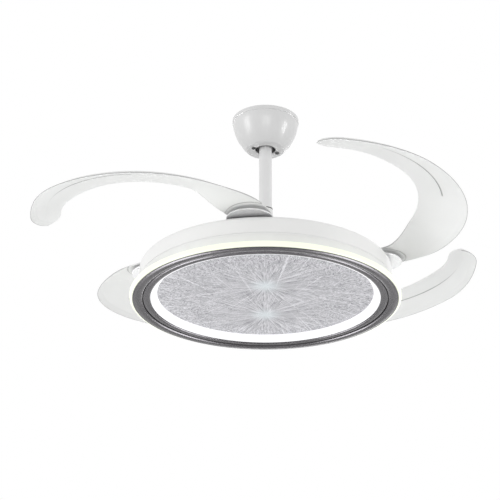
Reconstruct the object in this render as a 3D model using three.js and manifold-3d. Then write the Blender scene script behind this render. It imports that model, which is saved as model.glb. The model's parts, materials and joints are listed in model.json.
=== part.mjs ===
// A retractable blade ceiling fan with a round lamp, in millimetres, +Z up.
// The origin is the centre of the ceiling bracket's top face. The lamp and the rotor are built
// on their own datum, the plane of the lamp's lowest edge, which hangs OVERALL_DROP below it.

import * as THREE from 'three';
import { mergeVertices } from 'three/addons/utils/BufferGeometryUtils.js';
import Module from 'manifold-3d';

const wasm = await Module();
wasm.setup();

// ---- driving dimensions: the whole fan ----
const OVERALL_DROP = 382; // ceiling to the lamp's lowest edge
const FIT_GAP = 0.3; // clearance between pieces that seat on or in each other
const SHEET = 2.5; // thickness of the folded steel sheet

// ---- driving dimensions: ceiling bracket and canopy ----
const MOUNT_AZIMUTH = 24; // degrees; the bracket's long axis, and so the canopy screws
const BRACKET_PLATE_RADIUS = 58;
const CEILING_HOLE_RADIUS = 2.75;
const CEILING_HOLE_OFFSET = 45;
const BRACKET_LEG_INSIDE = 31; // from the axis to a leg's inner face
const BRACKET_WIDTH = 52;
const CRADLE_THICKNESS = 10;
const CANOPY_RIM_RADIUS = 64;
const CANOPY_RIM_HEIGHT = 8;
const CANOPY_RIM_STEP = 1.4;
const CANOPY_HEIGHT = 64;
const CANOPY_BASE_RADIUS = 36;
const CANOPY_WALL = 1.4;
const CANOPY_MOUTH_RADIUS = 19.5;
const CANOPY_BELL_POWER = 2.2; // how late the bell starts to close in
const CANOPY_BELL_ROUND = 0.8; // how round its shoulder is
const CANOPY_SCREW_OFFSET = 24.5;
const CANOPY_SCREW_RADIUS = 2;
const CANOPY_SCREW_GRIP = 5; // thread inside the cradle
const RECEIVER_SIZE = [50, 16, 22];
const TERMINAL_SIZE = [34, 12, 14];
const BOX_TO_BRACKET = 2; // clear space between a leg's side and each electrical box

// ---- driving dimensions: hanger ball and rod ----
const BALL_RADIUS = 22;
const BALL_DEPTH = 31; // ball centre below the ceiling
const BALL_FLAT = 19; // height of the flats above and below the ball's centre
const BALL_PIN_RADIUS = 3;
const LINER_WALL = 2;
const BALL_GAP = 0.6; // between the ball, its liner and the cradle, so that each can turn
const LINER_FROM = 45; // degrees from straight down
const LINER_TO = 75;
const CRADLE_THROAT_RADIUS = 17;
const ROD_RADIUS = 12.3;
const ROD_WALL = 1.6;
const ROD_BOTTOM = 156;

// ---- driving dimensions: yoke and motor, heights over the lamp's lowest edge ----
const COLLAR_TOP = 193;
const COLLAR_WALL = 1;
const YOKE_TOP = 175.5;
const YOKE_BOTTOM = 137;
const YOKE_RADIUS = 16;
const CLEVIS_HEIGHT = 170;
const CLEVIS_RADIUS = 2.5;
const CLEVIS_HEAD_RADIUS = 4.5;
const CLEVIS_HEAD_LENGTH = 3;
const CLIP_RADIUS = 5.5;
const CLIP_THICKNESS = 1.2;
const SHAFT_RADIUS = 8.5;
const SHAFT_BORE_RADIUS = 5.5;
const SHAFT_TOP = 150;
const SHAFT_BOTTOM = 54;
const MOTOR_RADIUS = 86;
const MOTOR_TOP = 130;
const MOTOR_SPLIT = 100;
const MOTOR_SHOULDER = 12;
const MOTOR_EDGE_ROUND = 4;
const MOTOR_WALL = 2.5;
const BEARING_RADIUS = 16;
const BEARING_HEIGHT = 7;
const BEARING_SEAT_WALL = 3;
const MAGNET_THICKNESS = 7;
const MAGNET_HEIGHT = 24;
const AIR_GAP = 1;
const STATOR_HEIGHT = 16;
const STATOR_TEETH = 12;
const STATOR_HUB_RADIUS = 34;
const STATOR_RIM = 6;
const WINDING_RADIUS = 60;
const WINDING_HEIGHT = 7;

// ---- driving dimensions: blade carrier and blade pivots ----
const CARRIER_BOTTOM = 70;
const CARRIER_HUB_RADIUS = 92;
const CARRIER_LOBE_RADIUS = 41;
const CARRIER_HOLE_RADIUS = 24;
const CARRIER_WINDOW_RADIUS = 20;
const CARRIER_WINDOW_OFFSET = 142;
const PIVOT_INSET = 22; // from the drum's wall in to a blade's pivot
const PIVOT_AZIMUTH = -7.4; // degrees; the first pivot
const BLADE_COUNT = 4;
const BOLT_RADIUS = 5;
const BOLT_HEAD_RADIUS = 8.5;
const BOLT_HEAD_HEIGHT = 3.6;
const SPRING_HEIGHT = 2;
const SPRING_INNER = 12.5;
const SPRING_OUTER = 16.5;
const HUB_RADIUS = 29;
const HUB_THICKNESS = 3.2;
const HUB_BOSS_RADIUS = 10;
const LUG_REACH = 39;
const LUG_WIDTH = 9;
const LUG_ANGLE = 213; // degrees at full opening, from straight outwards
const STOP_RADIUS = 3.5;
const STOP_OFFSET = 36;
const STOP_SLACK = 1; // degrees between a lug and its stop
const CLAMP_RADIUS = 27;
const CLAMP_THICKNESS = 2.7;

// ---- driving dimensions: the blades ----
const BLADE_LENGTH = 546; // along the centre line, pivot to tip
const BLADE_HEADING = -13; // degrees; the centre line at the pivot, fully open, from straight outwards
const BLADE_BEND_ROOT = 235; // degrees of bend per blade length, at the root, middle and tip
const BLADE_BEND_MIDDLE = 146;
const BLADE_BEND_TIP = 182;
const BLADE_WIDTH_ROOT = 76;
const BLADE_WIDTH_THIRD = 91;
const BLADE_WIDTH_TWO_THIRDS = 80;
const BLADE_WIDTH_TIP = 56;
const BLADE_TIP_SHARE = 0.08; // share of the length that rounds off into the tip
const BLADE_RISE_MIDDLE = 26; // height over the root
const BLADE_RISE_TIP = 41;
const BLADE_PITCH_ROOT = 17; // degrees; the outer edge hangs lower
const BLADE_PITCH_MIDDLE = 15;
const BLADE_PITCH_TIP = 10;
const BLADE_FLAT_END = 34; // the root stays flat up to here, from the pivot
const BLADE_TWIST_END = 130; // and has its full pitch from here
const BLADE_CAMBER = 4;
const BLADE_ROOT_THICKNESS = 3;
const BLADE_THICKNESS = 2.8;
const BLADE_EDGE_THICKNESS = 1.4;
const BLADE_FOLD = 64; // degrees from full opening to folded over the drum
const BLADE_AT_REST = [0, -9, -9, 0]; // degrees short of full opening, as photographed

// ---- driving dimensions: the lamp, heights over its lowest edge ----
const DRUM_RADIUS = 234;
const DRUM_TOP = 67;
const DRUM_BOTTOM = 31;
const DRUM_EDGE_ROUND = 9;
const DRUM_WALL = 1.5;
const SKIRT_PROUD = 3.2; // of the drum's wall
const SKIRT_WALL = 2;
const SKIRT_BOTTOM = 12.3;
const SKIRT_LIP_BACK = 2; // from the trim's bore out to the edge of the skirt's lower flange
const SPIGOT_HEIGHT = 9;
const SPIGOT_WALL = 2.7;
const GLOW_PROUD = 12.8; // of the skirt
const GLOW_BOTTOM = 2.8;
const GLOW_EDGE_ROUND = 2.5;
const GLOW_FLANGE = 2;
const TRIM_INSET = 5; // from the glowing rim in to the trim's edge
const TRIM_WIDTH = 33;
const TRIM_WALL = 2;
const TRIM_HEIGHT = 9.7;
const TRIM_GROOVE_WIDTH = 14; // from the trim's bore out to its groove
const TRIM_BAND_DEPTH = 4.2; // how far the broad outer band bulges down
const WALL_MOUTH_HEIGHT = 3.5;
const TRIM_CLEARANCE = 0.5; // between the trim's bore and the recess's mouth
const WALL_FLARE = 8; // how much wider the recess is at its mouth
const WALL_SHEET = 1.5;
const WALL_LEDGE = 4;
const PLATE_PLAY = 0.7; // round the plate, on its ledge
const PLATE_THICKNESS = 3;
const TRAY_THICKNESS = 1.5;
const BOARD_THICKNESS = 1.5;
const BOARD_INNER = 40;
const BOARD_INSET = 10.8; // from the plate's edge in to the board's edge
const DRIVER_SIZE = [60, 60, 21];
const DRIVER_INSIDE = 45; // from the axis to the near face of each driver box
const NUT_RADIUS = 14;
const NUT_HEIGHT = 8;
const LEAD_RADIUS = 2.4;
const LEAD_BESIDE_PINS = 6.2; // how far off the axis it passes the two cross pins
const LEAD_BEND = 14;
const LEAD_BELOW_CEILING = 16;
const CHASSIS_SCREW_RADIUS = 2;
const CHASSIS_SCREW_HEAD = 4;
const CHASSIS_SCREW_AZIMUTHS = [0, 90, 180];

// ---- facets ----
const FINE = 32; // the lamp's rings
const MEDIUM = 20;
const COARSE = 12;
const BLADE_STATIONS = 16;
const BLADE_COLUMNS = 4;
const LEAD_STEPS = 44;
const LEAD_SIDES = 6;

const { degToRad, lerp, smoothstep } = THREE.MathUtils;
const PIVOT_RADIUS = DRUM_RADIUS - PIVOT_INSET;
const SKIRT_RADIUS = DRUM_RADIUS + SKIRT_PROUD;
const GLOW_RADIUS = SKIRT_RADIUS + GLOW_PROUD;
const TRIM_RADIUS = GLOW_RADIUS - TRIM_INSET;
const TRIM_INNER = TRIM_RADIUS - TRIM_WIDTH;
const TRIM_GROOVE_RADIUS = TRIM_INNER + TRIM_GROOVE_WIDTH;
const SKIRT_LIP = TRIM_INNER + SKIRT_LIP_BACK;
const WALL_MOUTH_RADIUS = TRIM_INNER - TRIM_CLEARANCE;
const WALL_TOP_RADIUS = WALL_MOUTH_RADIUS - WALL_FLARE;
const PLATE_RADIUS = WALL_TOP_RADIUS - PLATE_PLAY;
const BOARD_OUTER = PLATE_RADIUS - BOARD_INSET;
const LEAD_TOP = OVERALL_DROP - LEAD_BELOW_CEILING;
const LINER_INNER = BALL_RADIUS + BALL_GAP;
const LINER_OUTER = LINER_INNER + LINER_WALL;
const CRADLE_POCKET_RADIUS = LINER_OUTER + 1.5 * BALL_GAP;
const ROD_BORE_FIT = ROD_RADIUS + FIT_GAP;
const SHAFT_FIT = SHAFT_RADIUS + FIT_GAP;
const CARRIER_TOP = CARRIER_BOTTOM + SHEET;
const SPRING_BOTTOM = CARRIER_TOP + FIT_GAP;
const HUB_BOTTOM = SPRING_BOTTOM + SPRING_HEIGHT + FIT_GAP;
const BLADE_ROOT_BOTTOM = HUB_BOTTOM + HUB_THICKNESS + FIT_GAP;
const CLAMP_BOTTOM = BLADE_ROOT_BOTTOM + BLADE_ROOT_THICKNESS + FIT_GAP;
const CLAMP_TOP = CLAMP_BOTTOM + CLAMP_THICKNESS;
const BOLT_HEAD_BOTTOM = CLAMP_TOP + FIT_GAP;
const SKIRT_FLANGE_TOP = SKIRT_BOTTOM + SKIRT_WALL;
const SPIGOT_RADIUS = DRUM_RADIUS - DRUM_WALL - FIT_GAP;
const SPIGOT_TOP = DRUM_BOTTOM + SPIGOT_HEIGHT;
const WALL_FLANGE_BOTTOM = SKIRT_FLANGE_TOP + FIT_GAP;
const WALL_FLANGE_TOP = WALL_FLANGE_BOTTOM + WALL_SHEET;
const TRAY_BOTTOM = SPIGOT_TOP + FIT_GAP;
const TRAY_TOP = TRAY_BOTTOM + TRAY_THICKNESS;
const BOARD_BOTTOM = TRAY_BOTTOM - BOARD_THICKNESS;
const CHASSIS_SCREW_HEIGHT = DRUM_BOTTOM + CHASSIS_SCREW_HEAD + FIT_GAP;

// ---- materials ----
const finish = (color, roughness, metalness = 0) =>
  new THREE.MeshStandardMaterial({ color, roughness, metalness });
const WHITE_GLOSS = finish(0xe9e9e7, 0.25);
const WHITE_PLASTIC = finish(0xe4e4e2, 0.45);
const DARK_TRIM = finish(0x55545a, 0.25, 0.9);
const GLOW = finish(0xfdfbe6, 0.5);
const DIFFUSER = finish(0xffffff, 0.5);
const CRYSTAL = finish(0xcfcbd8, 0.15);
const CLEAR_BLADE = finish(0xe2e2e1, 0.3);
const STEEL = finish(0xa9abad, 0.35, 0.9);
const COPPER = finish(0xb06a3a, 0.4, 0.8);
const MAGNET = finish(0x3a3a3e, 0.6, 0.3);
const NYLON = finish(0xd8d4c4, 0.6);
const BLACK_PLASTIC = finish(0x2b2b2e, 0.55);
const BOARD = finish(0xf2f2ee, 0.5);

// ---- making solids ----

// Any closed geometry with its shared vertices merged, slivers dropped and faces turned outwards.
function closed(geometry) {
  const bare = geometry.clone();
  bare.deleteAttribute('normal');
  bare.deleteAttribute('uv');
  const merged = mergeVertices(bare, 1e-4);
  const at = merged.getAttribute('position');
  const corner = (k) => new THREE.Vector3().fromBufferAttribute(at, k);
  const faces = [];
  let volume = 0;
  for (let k = 0; k < merged.index.count; k += 3) {
    const [a, b, c] = [0, 1, 2].map((n) => merged.index.getX(k + n));
    if (a === b || b === c || c === a) continue;
    faces.push([a, b, c]);
    volume += corner(a).dot(corner(b).cross(corner(c)));
  }
  merged.setIndex(faces.flatMap(([a, b, c]) => (volume < 0 ? [a, c, b] : [a, b, c])));
  return merged;
}

function toSolid(geometry) {
  const shell = closed(geometry);
  const mesh = new wasm.Mesh({
    numProp: 3,
    vertProperties: new Float32Array(shell.getAttribute('position').array),
    triVerts: new Uint32Array(shell.index.array),
  });
  return new wasm.Manifold(mesh);
}

function toGeometry(solid) {
  const mesh = solid.getMesh();
  const geometry = new THREE.BufferGeometry();
  geometry.setAttribute('position', new THREE.BufferAttribute(mesh.vertProperties, 3));
  geometry.setIndex(new THREE.BufferAttribute(mesh.triVerts, 1));
  return geometry;
}

const cut = (body, ...tools) =>
  toGeometry(tools.reduce((solid, tool) => solid.subtract(toSolid(tool)), toSolid(body)));

const join = (...bodies) =>
  toGeometry(bodies.map(toSolid).reduce((solid, next) => solid.add(next)));

// A profile of [radius, height] points turned about Z. It starts and ends on the axis.
function turned(profile, segments = MEDIUM) {
  const points = profile.map(([radius, height]) => new THREE.Vector2(radius, height));
  return closed(new THREE.LatheGeometry(points, segments).rotateX(Math.PI / 2));
}

// The same for a ring: the profile closes on itself.
const ring = (profile, segments) => turned([...profile, profile[0]], segments);

const tube = (inner, outer, low, high, segments) =>
  ring([[inner, low], [outer, low], [outer, high], [inner, high]], segments);

const disc = (radius, low, high, segments) =>
  turned([[0, low], [radius, low], [radius, high], [0, high]], segments);

// A round bar along X, between two places.
const barX = (radius, from, to, segments = COARSE) =>
  disc(radius, from, to, segments).rotateY(Math.PI / 2);

// The hole for a cross pin along X, turned half a facet so that no corner meets an edge it cuts.
const crossHole = (radius, reach) =>
  barX(radius + FIT_GAP, -reach, reach).rotateX(Math.PI / COARSE);

// A block given by the ranges it fills.
function block([x0, x1], [y0, y1], [z0, z1]) {
  const box = new THREE.BoxGeometry(x1 - x0, y1 - y0, z1 - z0);
  return box.translate((x0 + x1) / 2, (y0 + y1) / 2, (z0 + z1) / 2);
}

// Points on a quarter turn, from angle a to b in degrees, about a centre in a profile.
function arc([r, z], radius, a, b, steps) {
  return Array.from({ length: steps + 1 }, (_, k) => {
    const angle = degToRad(lerp(a, b, k / steps));
    return [r + radius * Math.cos(angle), z + radius * Math.sin(angle)];
  });
}

const moved = (geometry, x, y, z = 0) => geometry.clone().translate(x, y, z);

function add(parent, name, geometry, material) {
  const mesh = new THREE.Mesh(geometry, material);
  mesh.name = name;
  parent.add(mesh);
  return mesh;
}

function place(parent, { x = 0, y = 0, z = 0, turn = 0 }) {
  const group = new THREE.Group();
  group.position.set(x, y, z);
  group.rotation.z = degToRad(turn);
  parent.add(group);
  return group;
}

// ---- ceiling mount ----

function bracket() {
  const cradleTop = -(BALL_DEPTH + CRADLE_THICKNESS);
  const cradleBottom = cradleTop - CRADLE_THICKNESS;
  const half = BRACKET_WIDTH / 2;
  const outside = BRACKET_LEG_INSIDE + SHEET;
  const leg = (side) =>
    block([side * BRACKET_LEG_INSIDE, side * outside].sort((a, b) => a - b), [-half, half],
      [cradleBottom, -SHEET / 2]);
  const body = join(
    disc(BRACKET_PLATE_RADIUS, -SHEET, 0),
    leg(1),
    leg(-1),
    block([-outside, outside], [-half, half], [cradleBottom, cradleTop]),
  );
  const pocket = new THREE.SphereGeometry(CRADLE_POCKET_RADIUS, MEDIUM, MEDIUM)
    .rotateX(Math.PI / 2)
    .translate(0, 0, -BALL_DEPTH);
  const throat = disc(CRADLE_THROAT_RADIUS, cradleBottom - 1, cradleTop + 1);
  const ceilingHole = disc(CEILING_HOLE_RADIUS, -2 * SHEET, SHEET, COARSE);
  const screwHole = disc(CANOPY_SCREW_RADIUS + FIT_GAP, cradleBottom - 1,
    cradleBottom + CANOPY_SCREW_GRIP + FIT_GAP, COARSE);
  return cut(
    body,
    pocket,
    throat,
    moved(ceilingHole, CEILING_HOLE_OFFSET, 0),
    moved(ceilingHole, -CEILING_HOLE_OFFSET, 0),
    moved(screwHole, CANOPY_SCREW_OFFSET, 0),
    moved(screwHole, -CANOPY_SCREW_OFFSET, 0),
  );
}

// The bell's outer radius, at a share of its height below the rim.
function bellRadius(share) {
  const shoulder = CANOPY_RIM_RADIUS - CANOPY_RIM_STEP;
  const open = (1 - share ** CANOPY_BELL_POWER) ** CANOPY_BELL_ROUND;
  return CANOPY_BASE_RADIUS + (shoulder - CANOPY_BASE_RADIUS) * open;
}

function canopy() {
  const steps = 6;
  const bell = (wall) =>
    Array.from({ length: steps + 1 }, (_, k) => {
      const share = 1 - (1 - k / steps) ** 1.6; // closer together where the bell turns in
      const height = -lerp(CANOPY_RIM_HEIGHT, CANOPY_HEIGHT - wall, share);
      return [bellRadius(share) - wall, height];
    });
  const outside = bell(0);
  const inside = bell(CANOPY_WALL).reverse();
  const shell = ring([
    [CANOPY_RIM_RADIUS - CANOPY_WALL - CANOPY_RIM_STEP, 0],
    [CANOPY_RIM_RADIUS - CANOPY_RIM_STEP / 2, 0],
    [CANOPY_RIM_RADIUS, -CANOPY_RIM_STEP],
    [CANOPY_RIM_RADIUS, -CANOPY_RIM_HEIGHT + CANOPY_RIM_STEP],
    ...outside,
    [CANOPY_MOUTH_RADIUS, -CANOPY_HEIGHT],
    [CANOPY_MOUTH_RADIUS, -CANOPY_HEIGHT + CANOPY_WALL],
    ...inside,
  ], MEDIUM);
  const hole = disc(CANOPY_SCREW_RADIUS + FIT_GAP, -CANOPY_HEIGHT - 1,
    -CANOPY_HEIGHT + CANOPY_WALL + 1, COARSE);
  return cut(shell, moved(hole, CANOPY_SCREW_OFFSET, 0), moved(hole, -CANOPY_SCREW_OFFSET, 0));
}

function canopyScrew() {
  const seat = -CANOPY_HEIGHT - FIT_GAP;
  const cradleBottom = -(BALL_DEPTH + 2 * CRADLE_THICKNESS);
  const head = 2 * CANOPY_SCREW_RADIUS;
  return turned([
    [0, seat - CANOPY_SCREW_RADIUS],
    [head * 0.6, seat - CANOPY_SCREW_RADIUS],
    [head, seat - CANOPY_SCREW_RADIUS * 0.4],
    [head, seat],
    [CANOPY_SCREW_RADIUS, seat],
    [CANOPY_SCREW_RADIUS, cradleBottom + CANOPY_SCREW_GRIP],
    [0, cradleBottom + CANOPY_SCREW_GRIP],
  ], COARSE);
}

// An electrical box under the bracket's plate, outside the legs, on one side.
function mountedBox([length, width, height], side) {
  const near = side * (BRACKET_WIDTH / 2 + BOX_TO_BRACKET);
  const far = near + side * width;
  return block([-length / 2, length / 2], [near, far].sort((a, b) => a - b),
    [-SHEET - height, -SHEET]);
}

function terminalBlock() {
  const [length, width, height] = TERMINAL_SIZE;
  const ways = 3;
  const middle = -(BRACKET_WIDTH / 2 + BOX_TO_BRACKET + width / 2);
  const wells = Array.from({ length: ways }, (_, k) => {
    const x = ((k - (ways - 1) / 2) * length) / ways;
    return moved(disc(length / ways / 4, -SHEET - height - 1, -SHEET - height * 0.7, COARSE),
      x, middle);
  });
  return cut(mountedBox(TERMINAL_SIZE, -1), ...wells);
}

function buildMount(fan) {
  const mount = place(fan, { turn: MOUNT_AZIMUTH });
  add(mount, 'ceiling_bracket', bracket(), STEEL);
  add(mount, 'canopy', canopy(), WHITE_GLOSS);
  for (const [k, side] of [1, -1].entries()) {
    const screw = moved(canopyScrew(), side * CANOPY_SCREW_OFFSET, 0);
    add(mount, `canopy_screw_${k + 1}`, screw, STEEL);
  }
  add(mount, 'remote_receiver', mountedBox(RECEIVER_SIZE, 1), BLACK_PLASTIC);
  add(mount, 'terminal_block', terminalBlock(), NYLON);
}

// ---- hanger ball, rod and yoke ----

function ballLiner() {
  const from = LINER_FROM - 90;
  const to = LINER_TO - 90;
  return ring([
    ...arc([0, 0], LINER_OUTER, from, to, 5),
    ...arc([0, 0], LINER_INNER, to, from, 5),
  ], MEDIUM);
}

function hangerBall() {
  const flat = (Math.asin(BALL_FLAT / BALL_RADIUS) * 180) / Math.PI;
  const ball = ring([
    ...arc([0, 0], BALL_RADIUS, -flat, flat, 8),
    [ROD_BORE_FIT, BALL_FLAT],
    [ROD_BORE_FIT, -BALL_FLAT],
  ], MEDIUM);
  return cut(ball, crossHole(BALL_PIN_RADIUS, 2 * BALL_RADIUS));
}

function buildHanger(parent) {
  const ball = place(parent, { z: OVERALL_DROP - BALL_DEPTH });
  const pinReach = Math.sqrt(BALL_RADIUS ** 2 - BALL_PIN_RADIUS ** 2) - 2 * FIT_GAP;
  add(ball, 'hanger_ball', hangerBall(), NYLON);
  add(ball, 'ball_pin', barX(BALL_PIN_RADIUS, -pinReach, pinReach), STEEL);
}

function downrod() {
  const top = OVERALL_DROP - BALL_DEPTH + BALL_FLAT;
  const ballHeight = OVERALL_DROP - BALL_DEPTH;
  const pipe = tube(ROD_RADIUS - ROD_WALL, ROD_RADIUS, ROD_BOTTOM, top);
  const across = (radius, height) =>
    moved(crossHole(radius, 2 * ROD_RADIUS), 0, 0, height);
  return cut(pipe, across(BALL_PIN_RADIUS, ballHeight), across(CLEVIS_RADIUS, CLEVIS_HEIGHT));
}

function yokeCollar() {
  const shoulder = ROD_BOTTOM - FIT_GAP;
  const collarRadius = ROD_BORE_FIT + COLLAR_WALL;
  const body = ring([
    [ROD_BORE_FIT, COLLAR_TOP],
    [collarRadius, COLLAR_TOP],
    [collarRadius, YOKE_TOP + 1],
    [YOKE_RADIUS, YOKE_TOP],
    [YOKE_RADIUS, YOKE_BOTTOM],
    [SHAFT_FIT, YOKE_BOTTOM],
    [SHAFT_FIT, shoulder],
    [ROD_BORE_FIT, shoulder],
  ], MEDIUM);
  return cut(body, moved(crossHole(CLEVIS_RADIUS, 2 * YOKE_RADIUS), 0, 0, CLEVIS_HEIGHT));
}

function clevisPin() {
  const seat = YOKE_RADIUS + FIT_GAP;
  const pin = turned([
    [0, -seat - 2 * CLIP_THICKNESS],
    [CLEVIS_RADIUS, -seat - 2 * CLIP_THICKNESS],
    [CLEVIS_RADIUS, seat],
    [CLEVIS_HEAD_RADIUS, seat],
    [CLEVIS_HEAD_RADIUS, seat + CLEVIS_HEAD_LENGTH],
    [0, seat + CLEVIS_HEAD_LENGTH],
  ], COARSE);
  return pin.rotateY(Math.PI / 2).translate(0, 0, CLEVIS_HEIGHT);
}

function clevisClip() {
  const from = -(YOKE_RADIUS + FIT_GAP);
  return tube(CLEVIS_RADIUS + FIT_GAP, CLIP_RADIUS, from - CLIP_THICKNESS, from, COARSE)
    .rotateY(Math.PI / 2)
    .translate(0, 0, CLEVIS_HEIGHT);
}

// ---- motor ----

const LOWER_BEARING = CARRIER_TOP + MOTOR_WALL + FIT_GAP;
const UPPER_BEARING = MOTOR_TOP - MOTOR_WALL - FIT_GAP - BEARING_HEIGHT;
const MOTOR_MIDDLE = (LOWER_BEARING + UPPER_BEARING + BEARING_HEIGHT) / 2;
const MAGNET_OUTER = MOTOR_RADIUS - MOTOR_WALL - FIT_GAP;
const STATOR_RADIUS = MAGNET_OUTER - MAGNET_THICKNESS - AIR_GAP;

function bearing(bottom) {
  const groove = 1;
  const outer = BEARING_RADIUS - FIT_GAP;
  const middle = (SHAFT_FIT + outer) / 2;
  const race = (outer - SHAFT_FIT) / 5;
  const top = bottom + BEARING_HEIGHT;
  return ring([
    [SHAFT_FIT, bottom],
    [middle - race, bottom],
    [middle - race, bottom + groove],
    [middle + race, bottom + groove],
    [middle + race, bottom],
    [outer, bottom],
    [outer, top],
    [SHAFT_FIT, top],
  ], MEDIUM);
}

function rotorCoverLower() {
  const floor = CARRIER_TOP + MOTOR_WALL;
  const seatTop = floor + BEARING_HEIGHT + FIT_GAP;
  return ring([
    [SHAFT_FIT + FIT_GAP, CARRIER_TOP],
    ...arc([MOTOR_RADIUS - MOTOR_EDGE_ROUND, CARRIER_TOP + MOTOR_EDGE_ROUND], MOTOR_EDGE_ROUND,
      -90, 0, 2),
    [MOTOR_RADIUS, MOTOR_SPLIT],
    [MOTOR_RADIUS - MOTOR_WALL, MOTOR_SPLIT],
    [MOTOR_RADIUS - MOTOR_WALL, floor + MOTOR_EDGE_ROUND],
    [MOTOR_RADIUS - MOTOR_WALL - MOTOR_EDGE_ROUND, floor],
    [BEARING_RADIUS + BEARING_SEAT_WALL, floor],
    [BEARING_RADIUS + BEARING_SEAT_WALL, seatTop],
    [BEARING_RADIUS, seatTop],
    [BEARING_RADIUS, floor],
    [SHAFT_FIT + FIT_GAP, floor],
  ], MEDIUM);
}

function rotorCoverUpper() {
  const roof = MOTOR_TOP - MOTOR_WALL;
  const seatBottom = roof - BEARING_HEIGHT - FIT_GAP;
  const round = (wall, from, to) =>
    arc([MOTOR_RADIUS - MOTOR_SHOULDER, MOTOR_TOP - MOTOR_SHOULDER], MOTOR_SHOULDER - wall,
      from, to, 3);
  return ring([
    [MOTOR_RADIUS, MOTOR_SPLIT],
    ...round(0, 0, 90),
    [SHAFT_FIT + FIT_GAP, MOTOR_TOP],
    [SHAFT_FIT + FIT_GAP, roof],
    [BEARING_RADIUS, roof],
    [BEARING_RADIUS, seatBottom],
    [BEARING_RADIUS + BEARING_SEAT_WALL, seatBottom],
    [BEARING_RADIUS + BEARING_SEAT_WALL, roof],
    ...round(MOTOR_WALL, 90, 0),
    [MOTOR_RADIUS - MOTOR_WALL, MOTOR_SPLIT],
  ], MEDIUM);
}

// Laminated core: a hub, a tooth every 30 degrees and a pole shoe on each.
function statorCore() {
  const pitch = (2 * Math.PI) / STATOR_TEETH;
  const outline = new THREE.Shape();
  const at = (radius, angle) => [radius * Math.cos(angle), radius * Math.sin(angle)];
  const shoeInner = STATOR_RADIUS - STATOR_RIM;
  for (let tooth = 0; tooth < STATOR_TEETH; tooth += 1) {
    const middle = tooth * pitch;
    const neck = pitch * 0.18;
    const shoe = pitch * 0.44;
    const corners = [
      at(STATOR_HUB_RADIUS, middle - neck * 1.6),
      at(shoeInner, middle - neck),
      at(shoeInner, middle - shoe),
      at(STATOR_RADIUS, middle - shoe),
      at(STATOR_RADIUS, middle),
      at(STATOR_RADIUS, middle + shoe),
      at(shoeInner, middle + shoe),
      at(shoeInner, middle + neck),
      at(STATOR_HUB_RADIUS, middle + neck * 1.6),
    ];
    corners.forEach(([x, y], k) => {
      if (tooth === 0 && k === 0) outline.moveTo(x, y);
      else outline.lineTo(x, y);
    });
  }
  const bore = new THREE.Path().absarc(0, 0, SHAFT_FIT, 0, 2 * Math.PI, true);
  outline.holes.push(bore);
  const core = new THREE.ExtrudeGeometry(outline, {
    depth: STATOR_HEIGHT,
    bevelEnabled: false,
    curveSegments: COARSE / 2,
  });
  return closed(core.translate(0, 0, MOTOR_MIDDLE - STATOR_HEIGHT / 2));
}

// Copper end turns: one rounded ring on each face of the core.
function winding(side) {
  const face = MOTOR_MIDDLE + side * (STATOR_HEIGHT / 2 + FIT_GAP);
  const crown = face + side * WINDING_HEIGHT;
  const inset = WINDING_HEIGHT / 2;
  return ring([
    [STATOR_HUB_RADIUS, face],
    [WINDING_RADIUS, face],
    [WINDING_RADIUS, crown - side * inset],
    [WINDING_RADIUS - inset, crown],
    [STATOR_HUB_RADIUS + inset, crown],
    [STATOR_HUB_RADIUS, crown - side * inset],
  ], MEDIUM);
}

function hexNut(top) {
  const outline = new THREE.Shape();
  for (let k = 0; k < 6; k += 1) {
    const angle = (k * Math.PI) / 3;
    const point = [NUT_RADIUS * Math.cos(angle), NUT_RADIUS * Math.sin(angle)];
    if (k === 0) outline.moveTo(...point);
    else outline.lineTo(...point);
  }
  outline.holes.push(new THREE.Path().absarc(0, 0, SHAFT_FIT, 0, 2 * Math.PI, true));
  const nut = new THREE.ExtrudeGeometry(outline, {
    depth: NUT_HEIGHT,
    bevelEnabled: false,
    curveSegments: COARSE / 2,
  });
  return closed(nut.translate(0, 0, top - NUT_HEIGHT));
}

// The lead passes beside the cross pins in the rod, comes down the hollow shaft on its axis,
// and bends out to a driver box's face.
function supplyLead() {
  const low = TRAY_TOP + LEAD_RADIUS + FIT_GAP;
  const at = (x, y, z) => new THREE.Vector3(x, y, z);
  const swerveTop = CLEVIS_HEIGHT - CLEVIS_RADIUS - LEAD_RADIUS;
  const swerveMiddle = (swerveTop + SHAFT_TOP) / 2;
  const path = new THREE.CurvePath();
  path.add(new THREE.LineCurve3(at(0, LEAD_BESIDE_PINS, LEAD_TOP),
    at(0, LEAD_BESIDE_PINS, swerveTop)));
  path.add(new THREE.CubicBezierCurve3(at(0, LEAD_BESIDE_PINS, swerveTop),
    at(0, LEAD_BESIDE_PINS, swerveMiddle), at(0, 0, swerveMiddle), at(0, 0, SHAFT_TOP)));
  path.add(new THREE.LineCurve3(at(0, 0, SHAFT_TOP), at(0, 0, low + LEAD_BEND)));
  path.add(new THREE.QuadraticBezierCurve3(at(0, 0, low + LEAD_BEND), at(0, 0, low),
    at(LEAD_BEND, 0, low)));
  path.add(new THREE.LineCurve3(at(LEAD_BEND, 0, low), at(DRIVER_INSIDE - FIT_GAP, 0, low)));
  const section = new THREE.Shape().absarc(0, 0, LEAD_RADIUS, 0, 2 * Math.PI);
  const lead = new THREE.ExtrudeGeometry(section, {
    steps: LEAD_STEPS,
    curveSegments: LEAD_SIDES / 2,
    extrudePath: path,
  });
  return closed(lead);
}

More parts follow.
